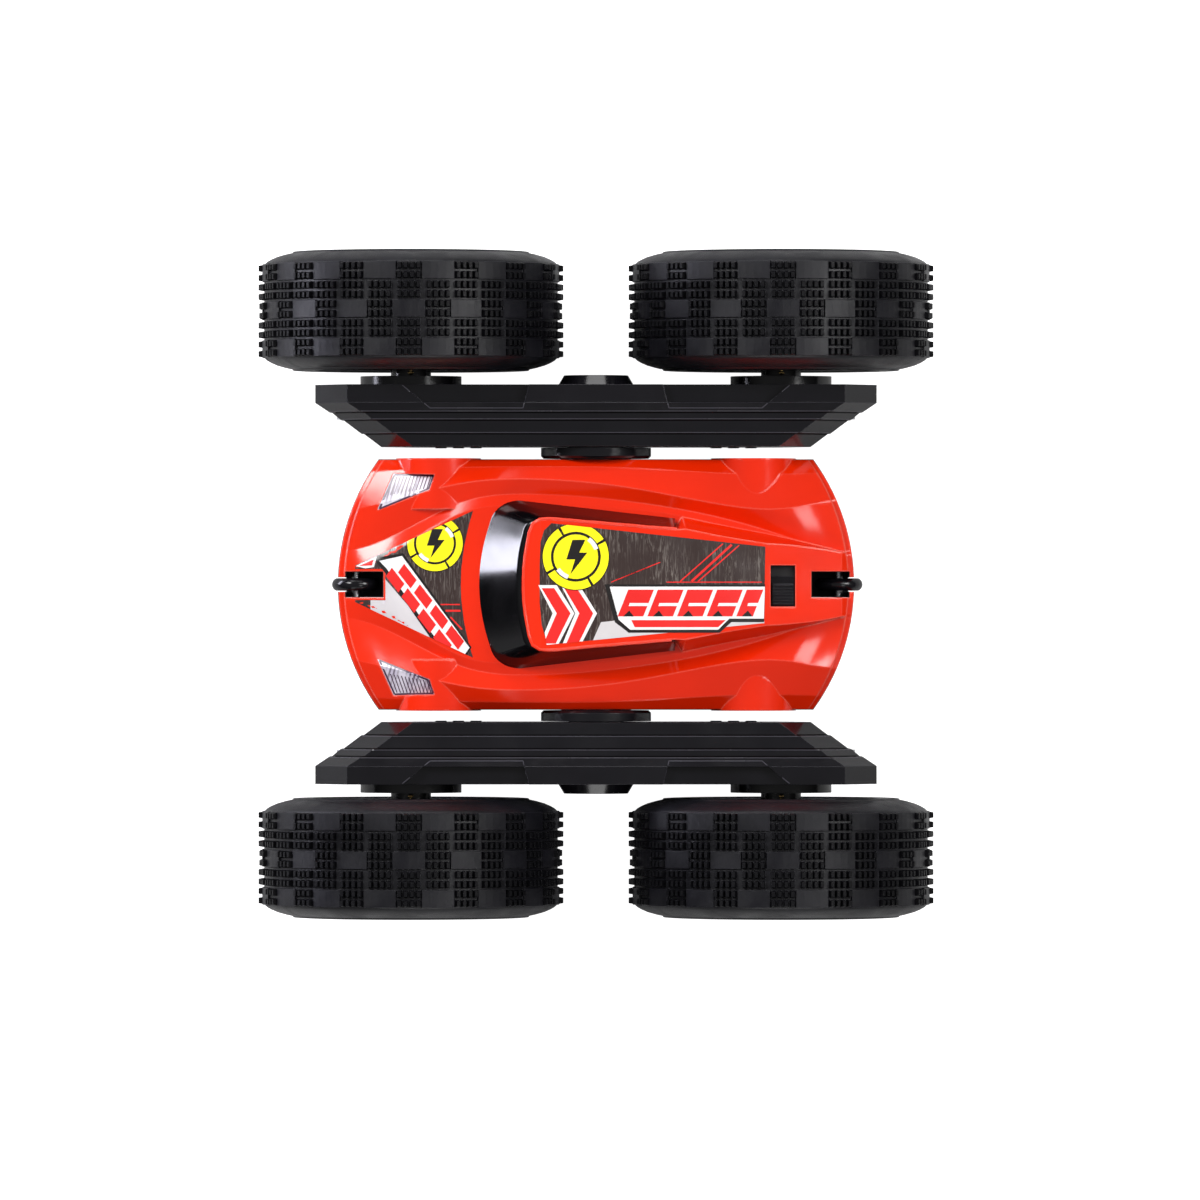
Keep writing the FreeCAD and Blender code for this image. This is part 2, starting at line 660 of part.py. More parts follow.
# Half outlines seen from above. The roof's side leans out from its deck to its foot behind the windows.
ROOF_TOP = [(-26.6, 20.0), ((-24.4, 24.8), (-19.0, 26.2)), (31.6, 21.9), (36, 20.9), (68, 12.4), (98, 11.8), (106, 11.8)]
ROOF_FOOT = [(-26.6, 20.0), ((-24.4, 24.8), (-19.0, 26.2)), (31.6, 22.4), (34, 28.2), (68, 21.2), (98, 13), (106, 12.8)]
ROOF_FOOT_Z, ROOF_TOP_Z = 14.0, 37.4
GLASS_FOOT = [(-46.2, 25.0), ((-41.8, 32.4), (-33.0, 35.2)), (31.6, 27.2)]
GLASS_TOP = [(-26.8, 19.6), ((-24.6, 24.4), (-19.0, 25.8)), (31.6, 21.7)]
GLASS_FOOT_Z, GLASS_TOP_Z = 15.0, 36.2


def crossed_outline(half, front, inset):
    """A closed outline from the half with y > 0, listed from front to back, and the middle of its bowed front."""

    def moved(point, side):
        x, y = point
        return (x + (inset if x < -18 else 0), side * (y - inset))

    outline = []
    for entry in half[1:]:
        nested = isinstance(entry[0], tuple)
        outline.append(tuple(moved(p, 1) for p in entry) if nested else moved(entry, 1))
    ends = [entry[1] if isinstance(entry[0], tuple) else entry for entry in half]
    outline.append(moved(ends[-1], -1))
    for number in range(len(half) - 1, 0, -1):
        entry, target = half[number], moved(ends[number - 1], -1)
        nested = isinstance(entry[0], tuple)
        outline.append((moved(entry[0], -1), target) if nested else target)
    outline.append(((front + inset, 0), moved(ends[0], 1)))
    return outline


def upright_loft(label, sections):
    """A ruled loft between level outlines, from (height above the axis, outline) pairs."""
    sketches = []
    for number, (height, outline) in enumerate(sections):
        sketches.append(free_sketch(f"{label}_{number}", Rotation(), Vector(0, 0, AXIS_Z + height), outline))
    return loft(label, sketches, ruled=True)


def roof_block(label, inset, floor):
    """The roof and tail deck: its leaning sides as a loft and its side profile, and what they share."""
    foot, top = (crossed_outline(half, -29.0, inset) for half in (ROOF_FOOT, ROOF_TOP))
    upright = upright_loft(f"{label}_up", [(ROOF_FOOT_Z, foot), (ROOF_TOP_Z, top)])
    side = [(x, z - inset) for x, z in ROOF_LINE] + [(104, floor), (-30, floor)]
    profile = free_sketch(f"{label}_side", ON_XZ, Vector(0, 0, AXIS_Z), side)
    return common(label, upright, prism(f"{label}_across", profile, 80, symmetric=True))


def glass_loft(label, inset):
    """The cabin between the body's top and the roof."""
    foot = crossed_outline(GLASS_FOOT, -50.6, inset)
    top = crossed_outline(GLASS_TOP, -28.8, inset)
    return upright_loft(label, [(GLASS_FOOT_Z, foot), (GLASS_TOP_Z, top)])


HEADLAMP = [(-80.8, 44.2), (-64.4, 43.8), (-66.4, 37.8), (-87.2, 29.8)]
SLOT_HALF = 5.2
LIP_WIDTH = 2.4
LIP_DROP = 1.8
NOTCH_HALF = 2.9
SWITCH_Y = -0.6


def roller_slots(label, wider):
    """The pockets for the nose and tail rollers, as tools; wider grows them into their own walls."""
    tools = []
    for end, x in (("front", dim("roller_front_x")), ("rear", dim("roller_rear_x"))):
        out = -1 if x < 0 else 1
        inner, outer = sorted((x - out * 11.2 - out * wider, x + out * (4.2 if not wider else 20)))
        half = SLOT_HALF + wider
        tools.append(box(f"{label}_{end}", (inner, -half, AXIS_Z - 60), (outer, half, AXIS_Z + 60)))
        if not wider:
            inner, outer = sorted((x + out * 4, x + out * 20))
            size = (inner, -NOTCH_HALF, AXIS_Z - 60), (outer, NOTCH_HALF, AXIS_Z + 60)
            tools.append(box(f"{label}_{end}_mouth", *size))
    return tools


def arches(label):
    """The moulded wheels in the body's four arches, as short drums across the car."""
    drums = []
    for x in (-dim("arch_x"), dim("arch_x")):
        for low, high in ((30, 50.4), (-50.4, -30)):
            drums.append(rod(f"{label}_{x}_{low}", "arch_radius", (x, low, AXIS_Z + 1.5), high))
    return drums


def neck_holes(label):
    return rod(label, 14.1, (0, -60, AXIS_Z), 60)


def pin_holes(label):
    pins = []
    for name, x in (("front", "roller_front_x"), ("rear", "roller_rear_x")):
        pins.append(rod(f"{label}_{name}", 1.6, (dim(x), -9.2, AXIS_Z), 9.2))
    return pins


def upper_body():
    wall = dim("shell_wall")
    crown = common("upper_crown", body_loft("upper_loft", 0, 0), plan_prism("upper_trim", 0, -1, 60, LIP_WIDTH))
    lip = common("upper_lip", body_loft("lip_loft", 0, 0, LIP_DROP), plan_prism("lip_trim", 0, 0, 60))
    skin = join("upper_skin", [crown, lip])
    roof = common("roof_trimmed", roof_block("roof", 0, ROOF_FOOT_Z), plan_prism("roof_trim", 0, -1, 60, LIP_WIDTH))
    bulges = common("upper_arches", join("upper_drums", arches("upper_drum")), box("above", (-120, -60, AXIS_Z), (120, 60, 200)))
    outer = join("upper_outer", [skin, roof, bulges])
    void_trim = plan_prism("upper_void_trim", wall, -1, 60, LIP_WIDTH)
    void_low = common("upper_void_low", body_loft("upper_inner", wall, -1, 0.4), void_trim)
    void_roof = common("upper_void_roof", roof_block("roof_inner", wall, ROOF_FOOT_Z), void_trim)
    cheeks = roller_slots("upper_cheek", 2.2)
    void = cut("upper_void", join("upper_voids", [void_low, void_roof]), cheeks)
    lamps = []
    for name, side in (("right", 1), ("left", -1)):
        sketch = free_sketch(f"lamp_{name}", Rotation(), Vector(0, 0, AXIS_Z + 4), [(x, side * y) for x, y in HEADLAMP])
        lamps.append(prism(f"lamp_cut_{name}", sketch, 30))
    cabin = cut("cabin_room", glass_loft("cabin_void", 1.8), [roof])
    x = dim("switch_x")
    switch = box("switch_window", (x - 4.9, SWITCH_Y - 8.2, AXIS_Z), (x + 4.9, SWITCH_Y + 8.2, AXIS_Z + 60))
    tools = [void, cabin, switch] + lamps + roller_slots("upper_slot", 0) + [neck_holes("upper_neck")]
    shell = cut("upper_shell", outer, tools + pin_holes("upper_pin"))
    keep("upper_shell", shell)
    glass = glass_loft("cabin_outer", 0)
    keep("cabin_windows", cut("cabin_windows", glass, [glass_loft("cabin_inner", 1.8), skin, roof]))
    lenses = [cut(f"lens_{n}", common(f"lens_block_{n}", skin, lamp), [void_low]) for n, lamp in enumerate(lamps)]
    group("headlamp_lenses", lenses)


def tub_loft(label, inset, bottom):
    """The chassis tub below the parting line: upright at the top, drawn in towards the flat floor."""
    levels = ((0.0, 0.0), (-19.0, 0.2), (bottom, 6.0))
    return upright_loft(label, [(height, plan_outline(inset + draw_in)) for height, draw_in in levels])


DOOR_HALF = (31.0, 31.0)
DOOR_SCREW = (28.2, 0.0)
POSTS = [(36, 14), (36, -14), (-36, 14), (-36, -14)]
BODY_SCREWS = [(76, 30), (76, -30), (-76, 30), (-76, -30)]


def lower_body():
    wall = dim("shell_wall")
    depth = dim("lower_shell_depth")
    drums = common("lower_arches", join("lower_drums", arches("lower_drum")), box("below", (-120, -60, 20), (120, 60, AXIS_Z)))
    outer = join("lower_outer", [tub_loft("tub", -0.3, -depth), drums])
    void = cut("tub_void", tub_loft("tub_inner", wall, wall - depth), roller_slots("lower_cheek", 2.2))
    (dx, dy), floor = DOOR_HALF, AXIS_Z - depth
    recess = box("door_recess", (-dx - 0.2, -dy - 0.2, floor - 1), (dx + 0.2, dy + 0.2, floor + 1.2))
    bay = box("battery_bay", (-dx + 5.5, -dy + 1.5, floor - 1), (dx - 5.5, dy - 1.5, floor + 9))
    door_hole = prism_disc("door_screw_hole", 1.2, *DOOR_SCREW, floor - 2, floor + 6)
    hollow = cut("lower_hollow", outer, [void, recess, bay] + roller_slots("lower_slot", 0) + [neck_holes("lower_neck")])
    posts = [prism_disc(f"post_{n}", 2.4, x, y, floor + 1, AXIS_Z + 11.6) for n, (x, y) in enumerate(POSTS)]
    towers = [prism_disc(f"tower_{n}", 4.0, x, y, floor + 1, AXIS_Z - 4) for n, (x, y) in enumerate(BODY_SCREWS)]
    holes = [prism_disc(f"tower_hole_{n}", 1.5, x, y, floor - 1, AXIS_Z) for n, (x, y) in enumerate(BODY_SCREWS)]
    sinks = [prism_disc(f"tower_sink_{n}", 3.2, x, y, floor - 1, floor + 6) for n, (x, y) in enumerate(BODY_SCREWS)]
    solid = join("lower_solid", [hollow] + posts + towers)
    keep("lower_shell", cut("lower_shell", solid, holes + sinks + [door_hole] + pin_holes("lower_pin")))
    plate = box("door_plate", (-dx, -dy, floor), (dx, dy, floor + 1.1))
    sink = prism_disc("door_sink", 1.4, *DOOR_SCREW, floor - 1, floor + 4)
    keep("battery_door", cut("battery_door", plate, [sink]))


def prism_disc(label, radius, x, y, low, high):
    """An upright cylinder."""
    post = doc.addObject("Part::Cylinder", label)
    post.Radius, post.Height = radius, high - low
    post.Placement = Placement(Vector(x, y, low), Rotation())
    return post


def body_fittings():
    floor = AXIS_Z - dim("lower_shell_depth")
    screws = []
    for n, (x, y) in enumerate(BODY_SCREWS):
        head = prism_disc(f"body_screw_head_{n}", 2.8, x, y, floor + 3.9, floor + 5.9)
        shank = prism_disc(f"body_screw_shank_{n}", 1.2, x, y, floor + 5.9, AXIS_Z + 3)
        screws.append(join(f"body_screw_{n}", [head, shank]))
    x, y = DOOR_SCREW
    head = prism_disc("door_screw_head", 2.4, x, y, floor - 1.0, floor)
    screws.append(join("door_screw", [head, prism_disc("door_screw_shank", 1.2, x, y, floor, floor + 5)]))
    group("body_screws", screws)

    cells = []
    for n, y in enumerate((-21.6, -7.2, 7.2, 21.6)):
        cell = doc.addObject("Part::Cylinder", f"cell_{n}")
        cell.Radius, cell.Height = 7.1, 48.0
        cell.Placement = Placement(Vector(-24.0, y, floor + 9.6), Rotation(Vector(0, 1, 0), 90))
        cells.append(cell)
    tie = box("pack_wrap", (-23.6, -21.6, floor + 4.0), (23.6, 21.6, floor + 15.2))
    keep("battery_pack", join("battery_pack", cells + [tie]))

    top = AXIS_Z + 11.8
    board = box("board_plate", (-40, -18, top), (40, 18, top + 1.6))
    chips = [box("board_chip", (-14, -7, top + 1.6), (0, 7, top + 3.2))]
    chips.append(box("board_plug", (14, -9, top + 1.6), (20, 9, top + 7)))
    chips.append(prism_disc("board_can", 4, -20, 8, top + 1.6, top + 6.4))
    chips.append(box("board_crystal", (-16, -15, top + 1.6), (-6, -11, top + 5)))
    keep("circuit_board", join("circuit_board", [board] + chips))

    rollers = [("front", "roller_front_x"), ("rear", "roller_rear_x")]
    for name, alias in rollers:
        roller = body_named(f"{name}_roller")
        radius, half = dim("roller_radius"), dim("roller_width") / 2
        edge = radius - 1.7
        rim = [(1.68, -half), (edge, -half), ((radius, 0), (edge, half)), (1.68, half)]
        spin(roller, rim)
        roller.Placement = Placement(Vector(dim(alias), 0, AXIS_Z), Rotation())
        roller.setExpression("Placement.Base.x", f"Dims.{alias}")
        roller.setExpression("Placement.Base.z", "Dims.tyre_radius")
    pins = [rod(f"{name}_roller_pin", "roller_pin_radius", (dim(a), -9, AXIS_Z), 9) for name, a in rollers]
    group("roller_pins", pins)


def switch():
    """Slide switch: its black case under the tail deck, and the ribbed cap that slides across the car."""
    x, deck = dim("switch_x"), AXIS_Z + 24.4
    case = box("switch_case_block", (x - 6.4, -11, deck - 13), (x + 6.4, 10, deck - 4.4))
    frame = box("switch_case_top", (x - 4.8, SWITCH_Y - 8.1, deck - 4.4), (x + 4.8, SWITCH_Y + 8.1, deck - 3.4))
    keep("switch_case", join("switch_case", [case, frame]))
    low_y = SWITCH_Y - 8.0
    plate = box("cap_plate", (x - 4.6, low_y, deck - 3.3), (x + 4.6, low_y + 11.8, deck - 2.1))
    knob = box("cap_knob", (x - 4.3, low_y + 0.2, deck - 2.1), (x + 4.3, low_y + 8.8, deck - 0.6))
    ribs = []
    for n in range(7):
        y = low_y + 0.6 + 1.2 * n
        ribs.append(box(f"cap_rib_{n}", (x - 4.0, y, deck - 0.6), (x + 4.0, y + 0.6, deck)))
    keep("switch_cap", join("switch_cap", [plate, knob] + ribs))


# ---------------------------------------------------------------- build and write


def build():
    for side in (RIGHT, LEFT):
        for end, x in (("front", -WHEEL_X), ("rear", WHEEL_X)):
            wheel(f"{end}_{SIDE_NAME[side]}", side, x)
        arm_inner_cover(side)
        arm_outer_cover(side)
        arm_screws(side)
        arm_gears(side)
        pivot(side)
        motor_drive(side)
    motors_and_trays()
    upper_body()
    lower_body()
    body_fittings()
    switch()
    doc.recompute()


def write():
    broken = [thing.Label for thing in doc.Objects if {"Invalid", "Error"} & set(thing.State)]
    if broken:
        raise RuntimeError(f"these did not recompute: {broken}")
    os.makedirs("parts", exist_ok=True)
    for label, thing in parts.items():
        shape = thing.Shape
        if shape.isNull() or not shape.isValid() or not shape.Solids:
            raise RuntimeError(f"{label} has no valid shape")
        print(label, "solids", len(shape.Solids), "faces", len(shape.Faces), "cm3", round(shape.Volume / 1000, 2))
        shape.exportStep(f"parts/{label}.step")


build()
write()
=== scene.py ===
# %% Load the frame
import json
import math

import bmesh
import bpy
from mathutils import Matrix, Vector
from mathutils.bvhtree import BVHTree


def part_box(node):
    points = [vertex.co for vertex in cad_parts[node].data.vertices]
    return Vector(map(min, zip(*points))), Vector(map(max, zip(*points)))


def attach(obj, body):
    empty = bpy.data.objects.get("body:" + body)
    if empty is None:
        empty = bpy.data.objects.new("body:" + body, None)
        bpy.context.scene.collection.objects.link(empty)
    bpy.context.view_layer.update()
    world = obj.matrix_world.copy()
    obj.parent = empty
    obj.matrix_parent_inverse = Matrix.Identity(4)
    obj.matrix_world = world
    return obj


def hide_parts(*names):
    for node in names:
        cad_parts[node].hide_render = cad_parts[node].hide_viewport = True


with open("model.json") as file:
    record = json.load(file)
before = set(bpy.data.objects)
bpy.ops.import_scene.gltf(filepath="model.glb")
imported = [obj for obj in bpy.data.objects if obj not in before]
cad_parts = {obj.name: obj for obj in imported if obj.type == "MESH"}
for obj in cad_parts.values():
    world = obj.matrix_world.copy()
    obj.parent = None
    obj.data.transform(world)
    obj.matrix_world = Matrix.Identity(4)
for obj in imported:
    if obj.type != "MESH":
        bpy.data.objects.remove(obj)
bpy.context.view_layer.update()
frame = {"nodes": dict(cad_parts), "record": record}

MM = 0.001

# %% [markdown]
# The toy is a sports car body that hangs between two long arms, and each arm carries two wheels with
# broad studded tyres. The solids of the frame already have the right sizes, so most of them stay and only
# get a finish. The tyres are rebuilt here, because hundreds of small rubber studs are far lighter as one
# mesh made by loops, and the printed stickers are laid on the shell as thin sheets.

# %% Sizes read from the frame
wheel_names = [n[len("tyre_"):] for n in sorted(frame["nodes"]) if n.startswith("tyre_")]
tyre_low, tyre_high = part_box("tyre_front_right")
tyre_radius = (tyre_high.z - tyre_low.z) / 2
tyre_half_width = (tyre_high.y - tyre_low.y) / 2
axle_height = (tyre_high.z + tyre_low.z) / 2
print("tyre radius", round(tyre_radius / MM, 1), "mm, half width", round(tyre_half_width / MM, 1), "mm")

# %% [markdown]
# ## Camera and light
# The car is shown from straight above, so the camera looks down from high up through a long lens, which
# keeps the wheels from leaning outwards. The colours of glossy plastic need a plain, unfiltered display.

# %% Camera
CAMERA_HEIGHT = 5.2
VIEW_WIDTH = 0.48
CAMERA_CENTRE = Vector((1.6 * MM, -6.2 * MM, 0))

camera_data = bpy.data.cameras.new("overhead_camera")
camera_data.sensor_width = 36
camera_data.lens = camera_data.sensor_width * CAMERA_HEIGHT / VIEW_WIDTH
camera_data.clip_end = 50
camera = bpy.data.objects.new("overhead_camera", camera_data)
camera.location = CAMERA_CENTRE + Vector((0, 0, axle_height + CAMERA_HEIGHT))
bpy.context.scene.collection.objects.link(camera)
bpy.context.scene.camera = camera
bpy.context.scene.view_settings.view_transform = "Standard"
print("lens", round(camera_data.lens), "mm")

# %% [markdown]
# ## Lamps
# The car is lit so softly that it throws hardly any shadow, yet its gloss shows long pale reflections.
# Point lamps would give small hard glints, so every lamp is a large rectangle. Two high ones light the top,
# two long ones beside the car draw highlights along the wings, a low lilac one ahead of the nose shows in the
# windshield, and two small ones lift the tail deck.

# %% Soft boxes


def soft_box(name, place, size, power, colour=(1, 1, 1)):
    """A rectangular studio lamp that faces the middle of the car."""
    light = bpy.data.lights.new(name, "AREA")
    light.shape = "RECTANGLE"
    light.size, light.size_y = size
    light.energy = power
    light.color = colour
    lamp = bpy.data.objects.new(name, light)
    lamp.location = place
    aim = Vector((0, 0, axle_height)) - Vector(place)
    lamp.rotation_euler = aim.to_track_quat("-Z", "Y").to_euler()
    bpy.context.scene.collection.objects.link(lamp)


# Each line holds the place and the width and height in metres, then the power in watts.
soft_box("high_left", (-1.1, 0.9, 1.5), (0.6, 0.6), 25)
soft_box("high_right", (1.2, 0.5, 1.4), (0.6, 0.6), 17)
soft_box("side_back", (0, 1.8, 0.9), (1.6, 0.5), 16)
soft_box("side_front", (0.2, -1.8, 0.9), (1.6, 0.5), 15)
LILAC = (0.86, 0.86, 1.0)
soft_box("nose_low", (-1.4, 0.55, 0.13), (0.95, 0.20), 19, LILAC)
soft_box("tail_high_back", (0.9, 0.75, 2.2), (0.5, 0.4), 5)
soft_box("tail_high_front", (0.9, -0.75, 2.2), (0.5, 0.4), 4)
print("lamps placed:", len(bpy.data.lights))

# %% [markdown]
# ## Sky and floor
# A grey sky that grows brighter upwards keeps the sides of the car darker than its top. The floor is a large
# sheet of pale paper.

# %% Sky
world = bpy.data.worlds.new("studio")
bpy.context.scene.world = world
world.use_nodes = True
HORIZON, ZENITH = 0.04, 0.30
FULL_SKY_AT = 0.8
sky = world.node_tree
direction = sky.nodes.new("ShaderNodeTexCoord")
upward = sky.nodes.new("ShaderNodeSeparateXYZ")
shade = sky.nodes.new("ShaderNodeMapRange")
shade.inputs["From Max"].default_value = FULL_SKY_AT
shade.inputs["To Min"].default_value = HORIZON
shade.inputs["To Max"].default_value = ZENITH
sky.links.new(direction.outputs["Generated"], upward.inputs[0])
sky.links.new(upward.outputs["Z"], shade.inputs["Value"])
sky.links.new(shade.outputs["Result"], sky.nodes["Background"].inputs["Strength"])
sky.nodes["Background"].inputs["Color"].default_value = (1, 1, 1, 1)
print("sky from", HORIZON, "to", ZENITH)

# %% Floor


def mesh_object(name, vertices, faces, smooth=False):
    """A new mesh object from vertices in metres and faces."""
    mesh = bpy.data.meshes.new(name)
    mesh.from_pydata(vertices, [], faces)
    made = bpy.data.objects.new(name, mesh)
    bpy.context.scene.collection.objects.link(made)
    for face in mesh.polygons:
        face.use_smooth = smooth
    return made


FLOOR_HALF = 4.0
FLOOR_DROP = 0.2 * MM
corners = [(-1, -1), (1, -1), (1, 1), (-1, 1)]
paper_corners = [(FLOOR_HALF * x, FLOOR_HALF * y, -FLOOR_DROP) for x, y in corners]
floor = mesh_object("floor", paper_corners, [(0, 1, 2, 3)])
print("floor laid")

# %% [markdown]
# ## Surface effects shared by many finishes
# Moulded plastic and rubber are never perfectly even. Four effects come back in most finishes, so each is
# a node group: a fine grain for the surface of the mould, worn edges where two faces meet, which on the
# red and black plastics are a painted highlight, faint smudges that change how sharp the gloss is, and soft
# clouds for a colour that is never quite even.

# %% Node group helpers


def new_group(name, inputs, outputs):
    """An empty shader group with float inputs (name, default) and outputs (name, socket type)."""
    group = bpy.data.node_groups.new(name, "ShaderNodeTree")
    for label, value in inputs:
        socket = group.interface.new_socket(label, in_out="INPUT", socket_type="NodeSocketFloat")
        socket.default_value = value
    for label, kind in outputs:
        group.interface.new_socket(label, in_out="OUTPUT", socket_type=kind)
    return group, group.nodes.new("NodeGroupInput"), group.nodes.new("NodeGroupOutput")


def add(tree, kind, settings=None, **inputs):
    """Adds a node, sets its properties, and fills or links inputs given by their names."""
    node = tree.nodes.new(kind)
    for key, value in (settings or {}).items():
        setattr(node, key, value)
    for key, value in inputs.items():
        socket = node.inputs[int(key[1:])] if key[0] == "_" else node.inputs[key.replace("_", " ")]
        if isinstance(value, bpy.types.NodeSocket):
            tree.links.new(value, socket)
        else:
            socket.default_value = value
    return node


def ramp(tree, value, stops):
    """A colour ramp on a value, from (position, colour) stops."""
    node = add(tree, "ShaderNodeValToRGB", Fac=value)
    elements = node.color_ramp.elements
    while len(elements) < len(stops):
        elements.new(0.5)
    for element, (position, colour) in zip(elements, stops):
        element.position = position
        element.color = (*colour, 1) if len(colour) == 3 else colour
    return node.outputs["Color"]


def grey(level):
    """A grey colour from one level."""
    return (level, level, level)


print("helpers ready")

# %% Mould grain: a fine noise height, in the surface's own millimetres
grain, source, sink = new_group("mould_grain", [("Size mm", 0.3), ("Depth", 1.0)],
                                [("Height", "NodeSocketFloat")])
place = add(grain, "ShaderNodeTexCoord")
per_metre = add(grain, "ShaderNodeMath", {"operation": "DIVIDE"}, _0=1000.0, _1=source.outputs["Size mm"])
speckle = add(grain, "ShaderNodeTexNoise", Vector=place.outputs["Object"],
              Scale=per_metre.outputs[0], Detail=3.0)
height = add(grain, "ShaderNodeMath", {"operation": "MULTIPLY"},
             _0=speckle.outputs["Fac"], _1=source.outputs["Depth"])
grain.links.new(height.outputs[0], sink.inputs["Height"])
print("grain group made")

# %% Edge wear and painted edge highlight: 1 where a rounded-off normal departs from the flat one
wear_and_highlight_edges, source, sink = new_group("edge_wear_and_highlight", [("Width", 0.0006), ("Gain", 6.0)], [("Mask", "NodeSocketFloat")])
rounded = add(wear_and_highlight_edges, "ShaderNodeBevel", {"samples": 4}, Radius=source.outputs["Width"])
flat = add(wear_and_highlight_edges, "ShaderNodeNewGeometry")
agree = add(wear_and_highlight_edges, "ShaderNodeVectorMath", {"operation": "DOT_PRODUCT"},
            _0=rounded.outputs[0], _1=flat.outputs["Normal"])
apart = add(wear_and_highlight_edges, "ShaderNodeMath", {"operation": "SUBTRACT"}, _0=1.0, _1=agree.outputs["Value"])
gained = add(wear_and_highlight_edges, "ShaderNodeMath", {"operation": "MULTIPLY", "use_clamp": True},
             _0=apart.outputs[0], _1=source.outputs["Gain"])
wear_and_highlight_edges.links.new(gained.outputs[0], sink.inputs["Mask"])
print("edge wear group made")

# %% Smudges: broad soft patches that dull the gloss
smudge, source, sink = new_group("smudges", [("Size mm", 25.0), ("Low", 0.1), ("High", 0.2)],
                                 [("Roughness", "NodeSocketFloat")])
place = add(smudge, "ShaderNodeTexCoord")
per_metre = add(smudge, "ShaderNodeMath", {"operation": "DIVIDE"}, _0=1000.0, _1=source.outputs["Size mm"])
cloud = add(smudge, "ShaderNodeTexNoise", Vector=place.outputs["Object"], Scale=per_metre.outputs[0],
            Detail=5.0, Distortion=0.6)
spread = add(smudge, "ShaderNodeMapRange", Value=cloud.outputs["Fac"], _1=0.35, _2=0.65,
             _3=source.outputs["Low"], _4=source.outputs["High"])
smudge.links.new(spread.outputs[0], sink.inputs["Roughness"])
print("smudge group made")

# %% Clouds: 0 to 1 in soft patches, for uneven colour
clouds, source, sink = new_group("colour_clouds", [("Scale", 60.0), ("Detail", 4.0)],
                                 [("Mask", "NodeSocketFloat")])
place = add(clouds, "ShaderNodeTexCoord")
cloud = add(clouds, "ShaderNodeTexNoise", Vector=place.outputs["Object"], Scale=source.outputs["Scale"],
            Detail=source.outputs["Detail"])
spread = add(clouds, "ShaderNodeMapRange", Value=cloud.outputs["Fac"], _1=0.3, _2=0.7)
clouds.links.new(spread.outputs[0], sink.inputs["Mask"])
print("clouds group made")

# %% [markdown]
# ## Finishes
# The body is glossy red plastic, arms, rims and lower shell are satin black, and the tyres are dull rubber.
# They could be separate node trees, but they differ only in their numbers, so one builder makes them all:
# it lays the clouds and the worn edges on the colour, the smudges on the roughness and the grain on the bump.
# On the red and black plastics the paler edges are a painted highlight.

# %% Finish builder


def use(tree, group, **inputs):
    """Places a shared group in a material with its own values."""
    node = tree.nodes.new("ShaderNodeGroup")
    node.node_tree = group
    for key, value in inputs.items():
        node.inputs[key.replace("_", " ")].default_value = value
    return node


def uneven(tree, dark, pale, scale, detail):
    """A colour that drifts between a darker and a paler tone."""
    patches = use(tree, clouds, Scale=scale, Detail=detail)
    tone = add(tree, "ShaderNodeMix", {"data_type": "RGBA"},
               _0=patches.outputs["Mask"], _6=(*dark, 1), _7=(*pale, 1))
    return tone.outputs[2]


def finish(name, colour, worn_and_highlight, gloss=(0.15, 0.25), smudge_mm=25.0, grain_mm=0.3, grain_depth=0.2, mottle=0.06,
           edge=0.35, edge_width=0.0005, metallic=0.0, **sockets):
    """A moulded or turned finish: mottled colour, paler edges for wear and painted highlight, smudged gloss
    and a grain bump.
    """
    material = bpy.data.materials.new(name)
    material.use_nodes = True
    tree = material.node_tree
    shader = tree.nodes["Principled BSDF"]
    shader.inputs["Metallic"].default_value = metallic
    for key, value in sockets.items():
        shader.inputs[key.replace("_", " ")].default_value = value
    tone = uneven(tree, [c * (1 - mottle) for c in colour], [c * (1 + mottle) for c in colour], 60.0, 4.0)
    # Edges turn towards a paler colour: wear, and on the glossy plastics a painted highlight.
    edges = use(tree, wear_and_highlight_edges, Width=edge_width)
    share = add(tree, "ShaderNodeMath", {"operation": "MULTIPLY"}, _0=edges.outputs["Mask"], _1=edge)
    mixed = add(tree, "ShaderNodeMix", {"data_type": "RGBA"}, _0=share.outputs[0], _6=tone, _7=(*worn_and_highlight, 1))
    tree.links.new(mixed.outputs[2], shader.inputs["Base Color"])
    smudged = use(tree, smudge, Size_mm=smudge_mm, Low=gloss[0], High=gloss[1])
    tree.links.new(smudged.outputs["Roughness"], shader.inputs["Roughness"])
    grained = use(tree, grain, Size_mm=grain_mm, Depth=1.0)
    soft_edge = add(tree, "ShaderNodeBevel", {"samples": 4}, Radius=edge_width)
    bump = add(tree, "ShaderNodeBump", Strength=grain_depth, Distance=0.1 * MM,
               Height=grained.outputs["Height"], Normal=soft_edge.outputs[0])
    tree.links.new(bump.outputs[0], shader.inputs["Normal"])
    return material


print("finish builder ready")

# %% Body finishes
# The pale pink edge colour, mixed in strongly, paints a highlight along the shell's edges.
red_plastic = finish(
    "red_gloss_plastic", (0.71, 0.018, 0.0005), (0.95, 0.20, 0.14), gloss=(0.10, 0.17), smudge_mm=30,
    grain_mm=1.2, grain_depth=0.05, mottle=0.03, edge=0.7, edge_width=0.0010, Specular_IOR_Level=0.5)
black_glass = finish(
    "black_gloss_window", (0.0015, 0.0015, 0.002), (0.01, 0.01, 0.012), gloss=(0.08, 0.13), smudge_mm=18,
    grain_mm=2, grain_depth=0.03, mottle=0.1, edge=0.3, Specular_IOR_Level=0.35)
print("body finishes:", red_plastic.name, black_glass.name)
